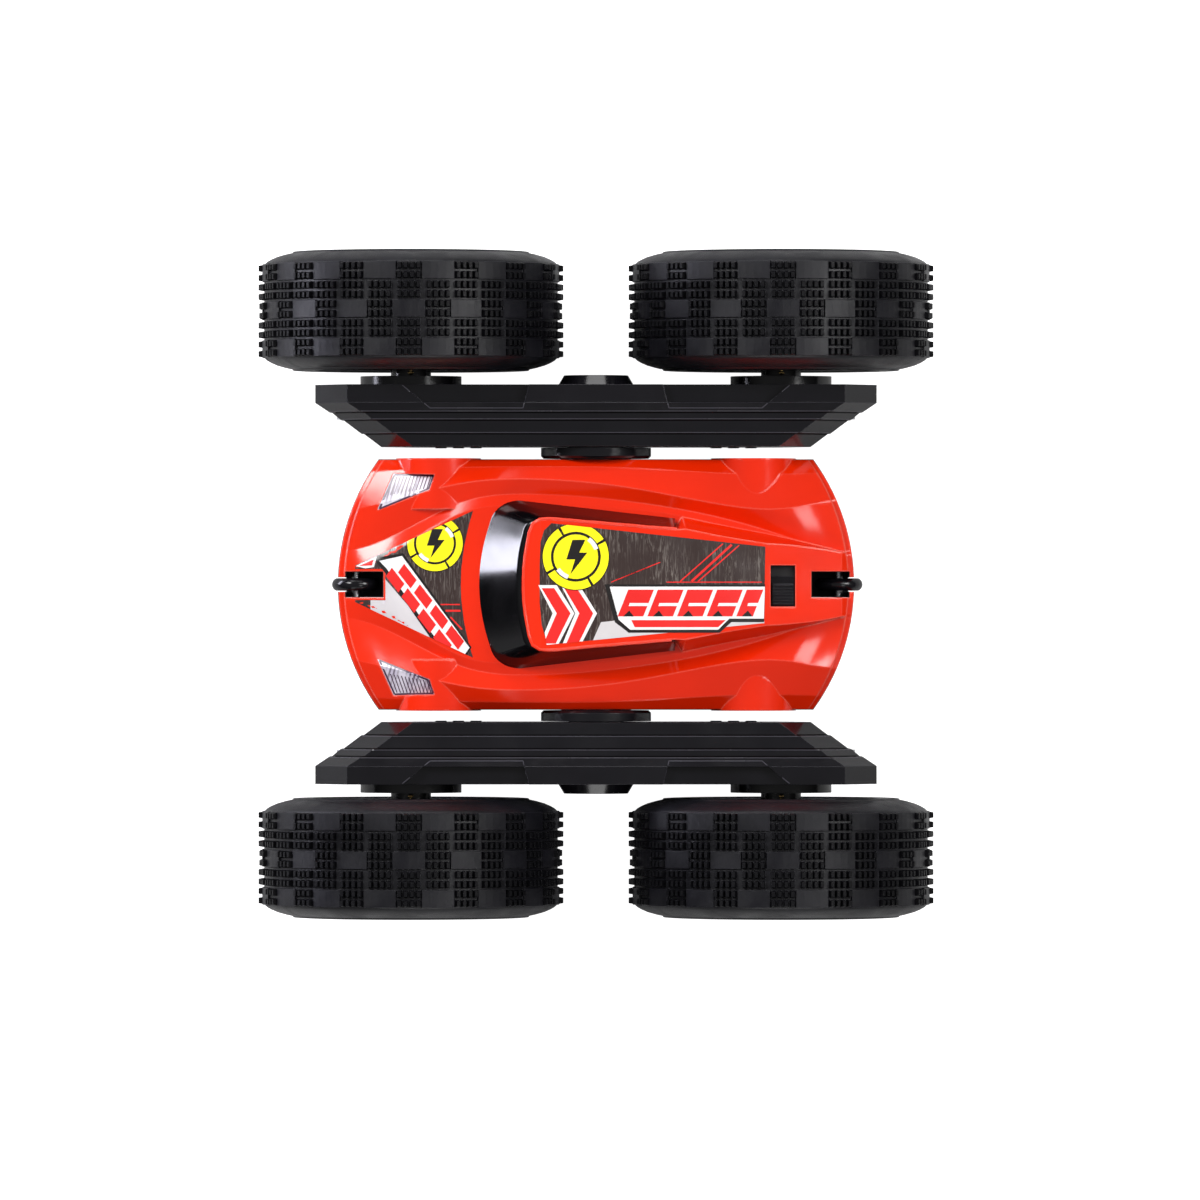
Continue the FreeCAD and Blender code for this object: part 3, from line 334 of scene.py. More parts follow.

# %% Black plastics and rubber
# The paler edge colour paints thin highlights along the edges of the arms and other black parts.
black_plastic = finish(
    "black_satin_plastic", (0.0045, 0.0042, 0.0058), (0.045, 0.043, 0.052), gloss=(0.12, 0.22), smudge_mm=20,
    grain_mm=0.25, grain_depth=0.12, mottle=0.15, edge=0.6, edge_width=0.0004, Specular_IOR_Level=0.34)
black_matt = finish(
    "black_matt_plastic", (0.008, 0.008, 0.009), (0.03, 0.03, 0.034), gloss=(0.4, 0.55), smudge_mm=12,
    grain_mm=0.25, grain_depth=0.5, mottle=0.15, edge=0.4, edge_width=0.0003, Specular_IOR_Level=0.35)
rubber = finish(
    "tyre_rubber", (0.0048, 0.0046, 0.0066), (0.030, 0.029, 0.037), gloss=(0.30, 0.48), smudge_mm=14,
    grain_mm=0.2, grain_depth=0.5, mottle=0.3, edge=0.45, edge_width=0.0003, Specular_IOR_Level=0.26)
# The studs are moulded in the tyre's own rubber; this darker, less glossy copy paints shade on them so they
# read black against the pads.
stud_rubber_painted_shade = finish(
    "tyre_stud_painted_shade", (0.0026, 0.0025, 0.0034), (0.010, 0.010, 0.013), gloss=(0.35, 0.5), smudge_mm=14,
    grain_mm=0.2, grain_depth=0.4, mottle=0.3, edge=0.3, edge_width=0.0002, Specular_IOR_Level=0.12)
print("black finishes:", black_plastic.name, black_matt.name, rubber.name, stud_rubber_painted_shade.name)

# %% Finishes of the works inside
nylon = finish(
    "milky_nylon", (0.72, 0.69, 0.60), (0.85, 0.83, 0.76), gloss=(0.35, 0.5), smudge_mm=8, grain_mm=0.4,
    grain_depth=0.2, edge=0.4, edge_width=0.0003)
steel = finish(
    "bright_steel", (0.55, 0.55, 0.57), (0.8, 0.8, 0.82), gloss=(0.2, 0.35), smudge_mm=6, grain_mm=0.15,
    grain_depth=0.2, edge=0.5, edge_width=0.0002, metallic=1.0)
battery_wrap = finish(
    "battery_wrap", (0.02, 0.10, 0.35), (0.1, 0.25, 0.6), gloss=(0.15, 0.3), smudge_mm=9, grain_mm=1.5,
    grain_depth=0.2, edge=0.3)
board_green = finish(
    "board_green", (0.01, 0.11, 0.035), (0.3, 0.25, 0.1), gloss=(0.25, 0.4), smudge_mm=7, grain_mm=0.8,
    grain_depth=0.4, mottle=0.3, edge=0.6, edge_width=0.0003)
print("inner finishes:", nylon.name, steel.name, battery_wrap.name, board_green.name)

# %% [markdown]
# The paper under the car glows only where the camera sees it directly. So it shows pure white, while the
# plastic above reflects a plain pale floor and not a lamp.

# %% Floor paper
PAPER = (0.45, 0.45, 0.45)
floor_paper = finish(
    "floor_paper", PAPER, PAPER, gloss=(0.7, 0.8), smudge_mm=200, grain_mm=2, grain_depth=0.05,
    mottle=0.005, edge=0.0)
paper = floor_paper.node_tree
seen = add(paper, "ShaderNodeLightPath")
paper_shader = paper.nodes["Principled BSDF"]
paper_shader.inputs["Emission Color"].default_value = (1, 1, 1, 1)
paper.links.new(seen.outputs["Is Camera Ray"], paper_shader.inputs["Emission Strength"])
floor.data.materials.append(floor_paper)
print("finishes made:", len(bpy.data.materials))

# %% [markdown]
# Most solids of the frame keep their shape, and each takes the finish of its material slot. The wheel gears
# are an exception: their collars show beside the hubs, where the toy is black.

# %% Finishes on the frame's own pieces
FINISH_BY_SLOT = {
    "red_shell": red_plastic, "tinted_window": black_glass, "black_arm": black_plastic,
    "black_shell": black_plastic, "rim": black_plastic, "steel": steel,
    "gear_plastic": nylon, "inner_plastic": black_matt,
    "battery_wrap": battery_wrap, "board": board_green, "tyre": rubber,
}
for row in frame["record"]["subparts"]:
    chosen = FINISH_BY_SLOT.get(row["material_slot"], black_plastic)
    if row["node"].startswith("wheel_gear"):
        chosen = black_plastic
    node = frame["nodes"][row["node"]]
    for slot in node.material_slots:
        slot.material = chosen

# %% [markdown]
# ## Tyres
# Each tyre is a smooth hollow carcass with 32 columns of tread round it. The columns take turns: one has
# studs on both shoulders and a smooth pad in the middle, the next has studs in the middle and smooth
# pads on its shoulders. A lathe outline with ribs on the sidewall makes the carcass, and loops set the pads
# and tapered studs on it. Bump alone would leave the tread's outline smooth, so the studs are real geometry.
# Four tyres share one mesh.

# %% Tread layout
COLUMNS = 32
ROWS = 10
STUDS_ACROSS = 4
ROW_PITCH = 3.8 * MM
STUD_PITCH = 2.45 * MM
STUD_LENGTH = 2.9 * MM
STUD_WIDTH = 1.8 * MM
STUD_TAPER = 0.72
PAD_HEIGHT = 0.9 * MM
STUD_HEIGHT = 2.3 * MM
tread_base = tyre_radius - STUD_HEIGHT
BEAD_RADIUS = 30.95
CARCASS = [
    (BEAD_RADIUS, 21.4), (31.6, 22.6), (33.4, 23.2), (34.6, 22.7), (36.0, 23.0),
    (38.2, 23.4), (38.5, 23.8), (39.3, 23.85), (39.6, 23.5), (43.0, 23.75),
    (46.0, 23.45), (46.3, 23.8), (47.1, 23.75), (47.4, 23.25), (48.6, 23.0),
    (50.0, 22.7), (53.5, 21.7), (55.8, 20.7), (57.4, 19.8), (58.3, 19.0),
    (58.65, 18.0), (58.7, 14.0), (58.7, 6.0), (58.7, 0.0),
]
WALL = 3.0
STEPS_PER_COLUMN = 6
print("stud rows stand", round(ROW_PITCH / MM, 1), "mm apart")

# %% Carcass by lathe


def lathe(outline, steps):
    """Vertices and quads of a closed (radius, y) outline turned about the Y axis."""
    vertices, faces = [], []
    count = len(outline)
    for step in range(steps):
        turn = 2 * math.pi * step / steps
        vertices += [(r * math.sin(turn), y, r * math.cos(turn)) for r, y in outline]
        after = (step + 1) % steps
        for i in range(count):
            j = (i + 1) % count
            faces.append((step * count + i, step * count + j, after * count + j, after * count + i))
    return vertices, faces


half = [(r * MM, y * MM) for r, y in CARCASS]
inner = [(max(r - WALL * MM, BEAD_RADIUS * MM), max(y - WALL * MM, 0)) for r, y in half[3:-1]]
outside = half[:-1] + [(half[-1][0], 0)] + [(r, -y) for r, y in reversed(half[:-1])]
inside = [(r, -y) for r, y in inner] + [(inner[-1][0], 0)] + [(r, y) for r, y in reversed(inner)]
vertices, faces = lathe(outside + inside, COLUMNS * STEPS_PER_COLUMN)
carcass_faces = len(faces)
print("carcass quads", carcass_faces)

# %% Pads and studs


def block(vertices, faces, turn, y, across, along, low, high, taper=1.0, steps=1):
    """Adds a raised block on the tread: across is its width round the tyre, along its length over it."""
    start = len(vertices)
    for radius, share in ((low, 1.0), (high, taper)):
        for step in range(steps + 1):
            angle = turn + (step / steps - 0.5) * across * share / radius
            for side in (-1, 1):
                edge = y + side * along * share / 2
                vertices.append((radius * math.sin(angle), edge, radius * math.cos(angle)))
    ring = 2 * (steps + 1)
    for step in range(steps):
        a = start + 2 * step
        faces.append((a + ring, a + ring + 2, a + ring + 3, a + ring + 1))
        faces.append((a, a + 2, a + 2 + ring, a + ring))
        faces.append((a + 1, a + 1 + ring, a + 3 + ring, a + 3))
    faces.append((start, start + ring, start + ring + 1, start + 1))
    last = start + 2 * steps
    faces.append((last, last + 1, last + 1 + ring, last + ring))


PAD_WIDTH = 13.4 * MM
PAD_LENGTH = 2 * ROW_PITCH - 0.5 * MM
PAD_TAPER = 0.97
ROOT = tread_base - 0.2 * MM
STUD_TOP = tyre_radius - 0.02 * MM
SHOULDER_ROW = 4
column_turn = 2 * math.pi / COLUMNS
stud_faces = []
pad_top = tread_base + PAD_HEIGHT
for column in range(COLUMNS):
    turn = column * column_turn
    shoulder_studs = column % 2 == 0
    pad_rows = [0] if shoulder_studs else [-SHOULDER_ROW, SHOULDER_ROW]
    for middle in pad_rows:
        y = middle * ROW_PITCH
        block(vertices, faces, turn, y, PAD_WIDTH, PAD_LENGTH, ROOT, pad_top, PAD_TAPER, steps=4)
    for row in range(ROWS):
        y = (row - (ROWS - 1) / 2) * ROW_PITCH
        on_shoulder = abs(y) > (SHOULDER_ROW - 1) * ROW_PITCH
        in_middle = abs(y) < ROW_PITCH
        if (shoulder_studs and in_middle) or (not shoulder_studs and on_shoulder):
            continue
        for number in range(STUDS_ACROSS):
            offset = (number - (STUDS_ACROSS - 1) / 2) * STUD_PITCH / tread_base
            first = len(faces)
            block(vertices, faces, turn + offset, y, STUD_WIDTH, STUD_LENGTH, ROOT, STUD_TOP, STUD_TAPER)
            stud_faces += range(first, len(faces))
print("tread faces", len(faces))

# %% One tyre mesh, placed four times
tyre_mesh = mesh_object("tread_pattern", vertices, faces).data
work = bmesh.new()
work.from_mesh(tyre_mesh)
bmesh.ops.recalc_face_normals(work, faces=work.faces)
work.to_mesh(tyre_mesh)
work.free()
for face in tyre_mesh.polygons[:carcass_faces]:
    face.use_smooth = True
tyre_mesh.materials.append(rubber)
tyre_mesh.materials.append(stud_rubber_painted_shade)
# The studs take the darker copy of the rubber, which paints shade on them.
for index in stud_faces:
    tyre_mesh.polygons[index].material_index = 1
bpy.data.objects.remove(bpy.data.objects["tread_pattern"])
for name in wheel_names:
    low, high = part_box(f"tyre_{name}")
    tyre = bpy.data.objects.new(f"studded_tyre_{name}", tyre_mesh)
    bpy.context.scene.collection.objects.link(tyre)
    tyre.location = (low + high) / 2
    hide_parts(f"tyre_{name}")
    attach(tyre, f"{name}_wheel")
print("tyres on", wheel_names)

# %% [markdown]
# ## Stickers
# The hood and the roof carry printed stickers. Each printed shape is a thin sheet: a flat outline is cut
# into a small grid and every point is dropped onto the shell below, so the sheet follows the curve.
# A picture texture could do this too, but sheets keep every edge sharp and need no picture. Shapes that
# overlap lie on higher layers. The art is plain discs, bars and chevrons.

# %% Rays onto the shell
RAY_START = 0.3
DOWN = Vector((0, 0, -1))


def shell_tree(*names):
    """A search tree over frame nodes, for rays from above."""
    vertices, faces = [], []
    for name in names:
        mesh = frame["nodes"][name].data
        start = len(vertices)
        vertices += [v.co.copy() for v in mesh.vertices]
        faces += [[start + i for i in p.vertices] for p in mesh.polygons]
    return BVHTree.FromPolygons(vertices, faces)


shell = shell_tree("upper_shell")
print("shell top at", round(shell.ray_cast(Vector((0, 0, RAY_START)), DOWN)[0].z / MM, 1), "mm")

# %% Dropping an outline on the shell
GRID = 2.0 * MM
LAYER = 0.05 * MM
DROP = 12 * MM


def sheet(name, outlines, layer, material, target=shell, body="car_body", slot="headlamp",
          grid=GRID, drop=DROP):
    """Thin shapes from outlines in millimetres, laid on a shell; points more than drop below the top go."""
    work = bmesh.new()
    for outline in outlines:
        work.faces.new([work.verts.new((x * MM, y * MM, 0)) for x, y in outline])
    spans = [(min(v.co[a] for v in work.verts), max(v.co[a] for v in work.verts)) for a in (0, 1)]
    for axis, (low, high) in enumerate(spans):
        normal = Vector((axis == 0, axis == 1, 0))
        for step in range(int(low / grid), int(high / grid) + 1):
            geometry = work.verts[:] + work.edges[:] + work.faces[:]
            bmesh.ops.bisect_plane(work, geom=geometry, plane_co=normal * (step * grid), plane_no=normal)
    bmesh.ops.triangulate(work, faces=work.faces[:])
    for face in work.faces:
        if face.normal.z < 0:
            face.normal_flip()
    for vertex in work.verts:
        hit = target.ray_cast(Vector((vertex.co.x, vertex.co.y, RAY_START)), DOWN)
        if hit[0] is not None:
            vertex.co.z = hit[0].z + (layer + 1) * LAYER
    lowest = max(v.co.z for v in work.verts) - drop
    bmesh.ops.delete(work, geom=[v for v in work.verts if v.co.z < lowest], context="VERTS")
    mesh = bpy.data.meshes.new(name)
    work.to_mesh(mesh)
    work.free()
    for face in mesh.polygons:
        face.use_smooth = True
    mesh.materials.append(material)
    made = bpy.data.objects.new(name, mesh)
    bpy.context.scene.collection.objects.link(made)
    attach(made, body)
    return made


print("a sheet's grid is", GRID / MM, "mm and its layers stand", LAYER / MM, "mm apart")

# %% [markdown]
# Printed colours are inks under a glossy film. The dark one is scratched: long thin streaks of noise, kept to
# patches, run across it at a slant.

# %% Printing inks


def ink(name, colour, streaks=None, roughness=0.16):
    """A glossy printed colour; streaks adds a second colour in thin scratched lines."""
    material = bpy.data.materials.new(name)
    material.use_nodes = True
    tree = material.node_tree
    shader = tree.nodes["Principled BSDF"]
    result = uneven(tree, [c * 0.94 for c in colour], [min(1, c * 1.05) for c in colour], 90.0, 6.0)
    if streaks:
        place = add(tree, "ShaderNodeTexCoord")
        lean = add(tree, "ShaderNodeMapping", Vector=place.outputs["Object"], Rotation=(0, 0, 0.9),
                   Scale=(900.0, 110.0, 1.0))
        hair = add(tree, "ShaderNodeTexNoise", Vector=lean.outputs[0], Scale=1.0, Detail=8.0,
                   Roughness=0.62, Distortion=1.5)
        lines = ramp(tree, hair.outputs["Fac"], [(0.50, grey(0)), (0.66, grey(1))])
        patch = add(tree, "ShaderNodeTexNoise", Vector=place.outputs["Object"], Scale=45.0, Detail=2.0)
        where = ramp(tree, patch.outputs["Fac"], [(0.42, grey(0.1)), (0.62, grey(1))])
        share = add(tree, "ShaderNodeMath", {"operation": "MULTIPLY"}, _0=lines, _1=where)
        mixed = add(tree, "ShaderNodeMix", {"data_type": "RGBA"},
                    _0=share.outputs[0], _6=result, _7=(*streaks, 1))
        result = mixed.outputs[2]
    tree.links.new(result, shader.inputs["Base Color"])
    smudged = use(tree, smudge, Size_mm=12.0, Low=roughness, High=roughness + 0.08)
    tree.links.new(smudged.outputs["Roughness"], shader.inputs["Roughness"])
    return material


grunge_ink = ink("print_dark_scratched", (0.035, 0.022, 0.02), streaks=(0.22, 0.19, 0.17))
white_ink = ink("print_white", (0.80, 0.78, 0.78))
pale_ink = ink("print_pale_grey", (0.58, 0.55, 0.56))
red_ink = ink("print_red", (0.72, 0.02, 0.018))
black_ink = ink("print_black", (0.012, 0.010, 0.010))
yellow_ink = ink("print_yellow", (0.90, 0.80, 0.01))
print("inks mixed")

# %% Outline helpers


def disc_outline(x, y, radius, start=0, stop=360, steps=40):
    """Points round a circle or an arc, with angles in degrees."""
    count = steps if stop - start >= 360 else steps + 1
    turns = [math.radians(start + (stop - start) * i / steps) for i in range(count)]
    return [(x + radius * math.cos(turn), y + radius * math.sin(turn)) for turn in turns]


def ring_outlines(x, y, outer, inner, gap=5, turn=30, pieces=4):
    """A ring in separate arcs."""
    made = []
    for number in range(pieces):
        start = turn + 360 / pieces * number + gap / 2
        stop = turn + 360 / pieces * (number + 1) - gap / 2
        made.append(disc_outline(x, y, outer, start, stop, 14) + disc_outline(x, y, inner, stop, start, 14))
    return made


def clip(outline, edge):
    """The part of an outline on the left of the line through edge's two points."""
    (ax, ay), (bx, by) = edge
    side = [(bx - ax) * (y - ay) - (by - ay) * (x - ax) for x, y in outline]
    kept = []
    for i, point in enumerate(outline):
        j = (i + 1) % len(outline)
        if side[i] >= 0:
            kept.append(point)
        if (side[i] >= 0) != (side[j] >= 0):
            t = side[i] / (side[i] - side[j])
            kept.append(tuple(p + t * (q - p) for p, q in zip(point, outline[j])))
    return kept


def bar(ax, ay, bx, by, width):
    """A straight stripe from a to b."""
    length = math.hypot(bx - ax, by - ay)
    nx, ny = -(by - ay) / length * width / 2, (bx - ax) / length * width / 2
    return [(ax + nx, ay + ny), (ax - nx, ay - ny), (bx - nx, by - ny), (bx + nx, by + ny)]


def slanted(x, y, width, height, lean):
    """A block that leans along X by lean over its height."""
    return [(x, y), (x + width, y), (x + width + lean, y + height), (x + lean, y + height)]


print("outline helpers ready")

# %% [markdown]
# The roof's sticker has a scratched dark ground, a white band with red blocks along its right side, chevrons
# at the front and a yellow roundel. All outlines are millimetres seen from above.

# %% Roof ground and band
ROOF = [(-17.7, 24.3), (-20.6, 21.5), (-22, 17), (-22.4, 8), (-22.4, -7), (-21.6, -16), (-20.0, -21.5),
        (-17.4, -23.8), (66.9, -15.4), (67.4, 15.0)]
sheet("roof_print_base", [ROOF], 0, grunge_ink)
roof_low = ((-17.4, -23.8), (66.9, -15.4))
pale = [(-2, -24), (2, -15), (9, -14.2), (14, -18.8), (48, -18.4), (53, -14.8), (67, -14.6), (67, -20),
        (60, -26)]
sheet("roof_print_pale", [clip(pale, roof_low)], 1, pale_ink)
band = [(5.5, -0.9), (9, -14), (13.6, -18), (48.6, -18), (53, -13.6), (66.8, -13.6), (67.2, -0.9)]
band_edge = [(3.5, 0), (7.5, -15), (13, -19.2), (49.2, -19.2), (53.8, -15), (66.9, -15), (67.3, 0)]
sheet("roof_print_band_edge", [band_edge], 2, black_ink)
sheet("roof_print_band_white", [band], 3, white_ink)
print("roof ground and band laid")

# %% Roof blocks
BLOCK_HEIGHT, BLOCK_LEAN = 10.6, 4.2
BLOCK_WIDTH, LAST_WIDTH = 10.2, 6.6
block_starts = (8.6, 20.4, 32.2, 44.0, 55.8)
widths = [BLOCK_WIDTH] * 4 + [LAST_WIDTH]
blocks = [slanted(x, -12.7, width, BLOCK_HEIGHT, BLOCK_LEAN) for x, width in zip(block_starts, widths)]
blocks.append([(14, -14.2), (51.6, -14.2), (48.6, -17.0), (15.4, -17.0)])
sheet("roof_print_blocks", blocks, 4, red_ink)
notches = [[(x + 4.4, -8.6), (x + end, -8.6), (x + end + 0.4, -7.4), (x + 4.8, -7.4)]
           for x, end in zip(block_starts, [12.6] * 4 + [8.6])]
sheet("roof_print_notches", notches, 5, white_ink)
darts = [[(x + 2.2, -12.7), (x + 6.4, -12.7), (x + 4.6, -10.4)] for x in block_starts]
sheet("roof_print_darts", darts, 5, black_ink)
print("roof blocks", len(block_starts))

# %% Roof chevrons and speed lines
CHEVRON = [(0, -1.5), (5, -1.5), (11.5, -11.5), (5.6, -23.5), (0.8, -23.5), (6, -11.5)]
CHEVRON_EDGE = [(-1.3, -0.3), (6, -0.3), (13, -11.5), (6.6, -24), (-0.8, -24), (4.4, -11.5)]
chevron_starts = (-21.6, -12.6)
chevrons = [[(start + x, y) for x, y in CHEVRON] for start in chevron_starts]
backing = [[(start + x, y) for x, y in CHEVRON_EDGE] for start in chevron_starts]
edge_front = ((-22.4, -7), (-20.0, -21.5))
sheet("roof_print_chevron_edge", [clip(clip(o, roof_low), edge_front) for o in backing], 2, white_ink)
sheet("roof_print_chevrons", [clip(clip(o, roof_low), edge_front) for o in chevrons], 3, red_ink)
lines = [bar(33.5, 1.2, 50.5, 16.2, 0.5), bar(38, 1.2, 54, 15.8, 0.9), bar(40.6, 1.2, 57, 15.6, 0.5),
         bar(28, 0.9, 66, 0.9, 0.4)]
lines += [bar(6 + 2.4 * i, 0.8 + i, 9 + 5.5 * i, 2.2 + 2.2 * i, 0.35) for i in range(4)]
sheet("roof_print_lines", lines, 1, red_ink)
print("roof chevrons", len(chevrons), "and lines", len(lines))

# %% Roundel
BOLT = [(-0.10, 0.50), (0.28, 0.50), (0.10, 0.12), (0.34, 0.12), (-0.16, -0.52), (-0.02, -0.08),
        (-0.28, -0.08)]


def roundel(name, x, y, radius, keep):
    """A yellow disc with a ring round it in arcs and a plain bolt, cut off at the sticker's keep line."""

    def trim(outline):
        return clip(outline, keep)

    sheet(f"{name}_dark", [trim(disc_outline(x, y, radius))], 5, black_ink)
    sheet(f"{name}_ring", [trim(o) for o in ring_outlines(x, y, radius - 0.3, radius * 0.74)], 6, yellow_ink)
    sheet(f"{name}_disc", [trim(disc_outline(x, y, radius * 0.66))], 6, yellow_ink)
    sheet(f"{name}_bolt", [trim([(x + radius * u, y + radius * v) for u, v in BOLT])], 7, black_ink)
    arcs = [disc_outline(x, y, radius * 0.71, a, a + 34, 8) + disc_outline(x, y, radius * 0.58, a + 34, a, 8)
            for a in (20, 215)]
    sheet(f"{name}_glint", [trim(o) for o in arcs], 7, white_ink)


roof_high = ((67.4, 15.0), (-17.7, 24.3))
roundel("roof_roundel", -8.0, 11.0, 13.4, keep=roof_high)
print("roof roundel laid")

# %% [markdown]
# The hood's sticker is a wedge that widens towards the windshield, with a cut-out for the nose roller's slot.
# It repeats the roof's parts: dark ground, pale patch, a slanting band of red blocks, lines and a roundel.

# %% Hood ground and band
HOOD = [(-96.2, 7.6), (-96.2, 6.2), (-84.0, 6.2), (-84.0, -6.2), (-96.2, -6.2), (-96.2, -7.0),
        (-49.0, -29.2), (-50.6, -24), (-52.6, -15), (-53.7, -6), (-53.9, 0), (-53.7, 6), (-52.6, 15),
        (-50.6, 24), (-49.0, 29.4)]
sheet("hood_print_base", [HOOD], 0, grunge_ink)
hood_low, hood_high = ((-96.2, -7.0), (-49.0, -29.2)), ((-49.0, 29.4), (-96.2, 7.6))
pale = [(-90, -6.3), (-84, -6.3), (-84, 2), (-80, -2.6), (-66, -19), (-61, -24), (-63, -30), (-90, -14)]
band_edge = [(-84, 4.5), (-89, 10.4), (-77, 12.5), (-49.6, -25), (-52, -29), (-60, -30)]
band = [(-83.6, 6.4), (-86.5, 9.4), (-77.4, 11.4), (-50.4, -25.2), (-52.4, -28), (-59.0, -28.5)]
sheet("hood_print_pale", [clip(pale, hood_low)], 1, pale_ink)
sheet("hood_print_band_edge", [clip(band_edge, hood_low)], 2, black_ink)
sheet("hood_print_band_white", [clip(band, hood_low)], 3, white_ink)
print("hood ground and band laid")

# %% Hood blocks, lines and roundel
BLOCK_STEP = 10.3
along = Vector((26.4, -34.0)).normalized()
across = Vector((along.y, -along.x))
pieces = []
for number in range(4):
    for offset, start in ((-4.2, 1.2), (0.6, -0.6)):
        base = Vector((-80.6, 6.6)) + along * (BLOCK_STEP * number + start) + across * offset
        top = base + along * 1.2 + across * 4.0
        quad = [base, base + along * 8.2, top + along * 8.2, top]
        pieces.append([tuple(p) for p in quad])
sheet("hood_print_blocks", [clip(p, hood_low) for p in pieces], 4, red_ink)
lines = [bar(-62, -8, -54.2, -8, 0.5), bar(-60, -10.5, -54, -10.5, 0.8), bar(-77, 8, -71, 1, 0.5),
         bar(-58, -13, -53.4, -18, 0.6)]
sheet("hood_print_lines", [clip(o, hood_high) for o in lines], 1, red_ink)
sheet("hood_print_nose", [[(-96, 7.4), (-87.5, 11.2), (-88.6, 7.0), (-92, 6.4)]], 2, white_ink)
sheet("hood_print_nose_red", [[(-94.6, 7.4), (-88.6, 10.1), (-89.4, 7.6)]], 3, red_ink)
roundel("hood_roundel", -64.2, 16.4, 11.4, keep=hood_high)
print("hood blocks", len(pieces))

# %% [markdown]
# ## Headlamps
# The headlamps are stickers too: silver film with fine dark slats inside a thin violet rim. The film's own
# shading comes from a wave texture, and the slats and rims are sheets laid on it, so they stay sharp.

# %% Headlamp film
headlamp = bpy.data.materials.new("silver_headlamp_film")
headlamp.use_nodes = True
tree = headlamp.node_tree
shader = tree.nodes["Principled BSDF"]
place = add(tree, "ShaderNodeTexCoord")
lean = add(tree, "ShaderNodeMapping", Vector=place.outputs["Object"], Rotation=(0, 0, 0.25))
slats = add(tree, "ShaderNodeTexWave", Vector=lean.outputs[0], Scale=190.0, Distortion=1.0, Detail=2.0)
patch = add(tree, "ShaderNodeTexNoise", Vector=place.outputs["Object"], Scale=120.0, Detail=3.0)
stripe = ramp(tree, slats.outputs["Fac"], [(0.25, (0.10, 0.07, 0.11)), (0.6, (0.50, 0.45, 0.56))])
glow = ramp(tree, patch.outputs["Fac"], [(0.4, grey(0)), (0.62, grey(1))])
mixed = add(tree, "ShaderNodeMix", {"data_type": "RGBA"}, _0=glow, _6=stripe, _7=(0.68, 0.64, 0.72, 1))
tree.links.new(mixed.outputs[2], shader.inputs["Base Color"])
smudged = use(tree, smudge, Size_mm=10.0, Low=0.1, High=0.2)
tree.links.new(smudged.outputs["Roughness"], shader.inputs["Roughness"])
for slot in frame["nodes"]["headlamp_lenses"].material_slots:
    slot.material = headlamp
print("headlamps finished")

# %% [markdown]
# ## Windows and roof edge
# The wrap-round window is one dark skin from the windshield to both sides. The frame's own solid stands a
# little above the roof at its rear, so the skin replaces it. It leans in from the body's top to just under
# the roof, and its upper edge follows the roof's height, which is found by dropping rays on the shell.

# %% Window outlines
GLASS_FOOT_Z, GLASS_TOP_Z = 15.0, 36.2
GLASS_SIDE = 31.4
STEPS = 14


def bowed_front(front, corner, arc_mid, arc_end, side_end, steps):
    """Half an outline seen from above: a bowed front, a round corner and a straight side."""
    (cx, cy), (mx, my), (ex, ey), (sx, sy) = corner, arc_mid, arc_end, side_end
    points = []
    for i in range(steps):
        t = i / steps
        points.append((front + (cx - front) * t * t, cy * t))
    control = (2 * mx - (cx + ex) / 2, 2 * my - (cy + ey) / 2)
    for i in range(steps):
        t = i / steps
        points.append(tuple((1 - t) ** 2 * a + 2 * t * (1 - t) * b + t * t * c
                            for a, b, c in zip(corner, control, arc_end)))
    for i in range(steps + 1):
        t = i / steps
        points.append((ex + (sx - ex) * t, ey + (sy - ey) * t))
    return points


foot = bowed_front(-50.6, (-46.2, 25.0), (-41.8, 32.4), (-33.0, 35.2), (GLASS_SIDE, 27.2), STEPS)
top = bowed_front(-28.8, (-26.8, 19.6), (-24.6, 24.4), (-19.0, 25.8), (GLASS_SIDE, 21.7), STEPS)
foot = [(x, -y) for x, y in reversed(foot[1:])] + foot
top = [(x, -y) for x, y in reversed(top[1:])] + top
print("window columns", len(foot))

# %% Window skin
GLASS_GAP = 0.5
GLASS_WALL = 1.2 * MM
PANE_ROWS = 10
ROOF_FRONT = -28
pane_vertices = []
for (fx, fy), (tx, ty) in zip(foot, top):
    above_roof = Vector((max(tx, ROOF_FRONT) * MM + 2 * MM, ty * MM * 0.7, RAY_START))
    roof_z = (shell.ray_cast(above_roof, DOWN)[0].z - axle_height) / MM
    reach = (min(GLASS_TOP_Z, roof_z - GLASS_GAP) - GLASS_FOOT_Z) / (GLASS_TOP_Z - GLASS_FOOT_Z)
    for row in range(PANE_ROWS + 1):
        t = reach * row / PANE_ROWS
        lift = GLASS_FOOT_Z + t * (GLASS_TOP_Z - GLASS_FOOT_Z)
        pane_vertices.append(((fx + (tx - fx) * t) * MM, (fy + (ty - fy) * t) * MM, axle_height + lift * MM))
rows = PANE_ROWS + 1
pane_faces = [(c * rows + r, (c + 1) * rows + r, (c + 1) * rows + r + 1, c * rows + r + 1)
              for c in range(len(foot) - 1) for r in range(PANE_ROWS)]
window = mesh_object("wrap_round_window", pane_vertices, pane_faces, smooth=True)
print("window faces", len(pane_faces))

# %% Window normals turned outwards, then a wall
CABIN_MIDDLE = Vector((-10 * MM, 0, 0))
work = bmesh.new()
work.from_mesh(window.data)
bmesh.ops.recalc_face_normals(work, faces=work.faces)
outward = sum((f.calc_center_median() - CABIN_MIDDLE).xy.dot(f.normal.xy) for f in work.faces)
if outward < 0:
    bmesh.ops.reverse_faces(work, faces=work.faces)
work.to_mesh(window.data)
work.free()
thick = window.modifiers.new("wall", "SOLIDIFY")
thick.thickness = GLASS_WALL
thick.offset = -1
window.data.materials.append(black_glass)
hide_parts("cabin_windows")
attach(window, "car_body")
print("window wall", GLASS_WALL / MM, "mm")

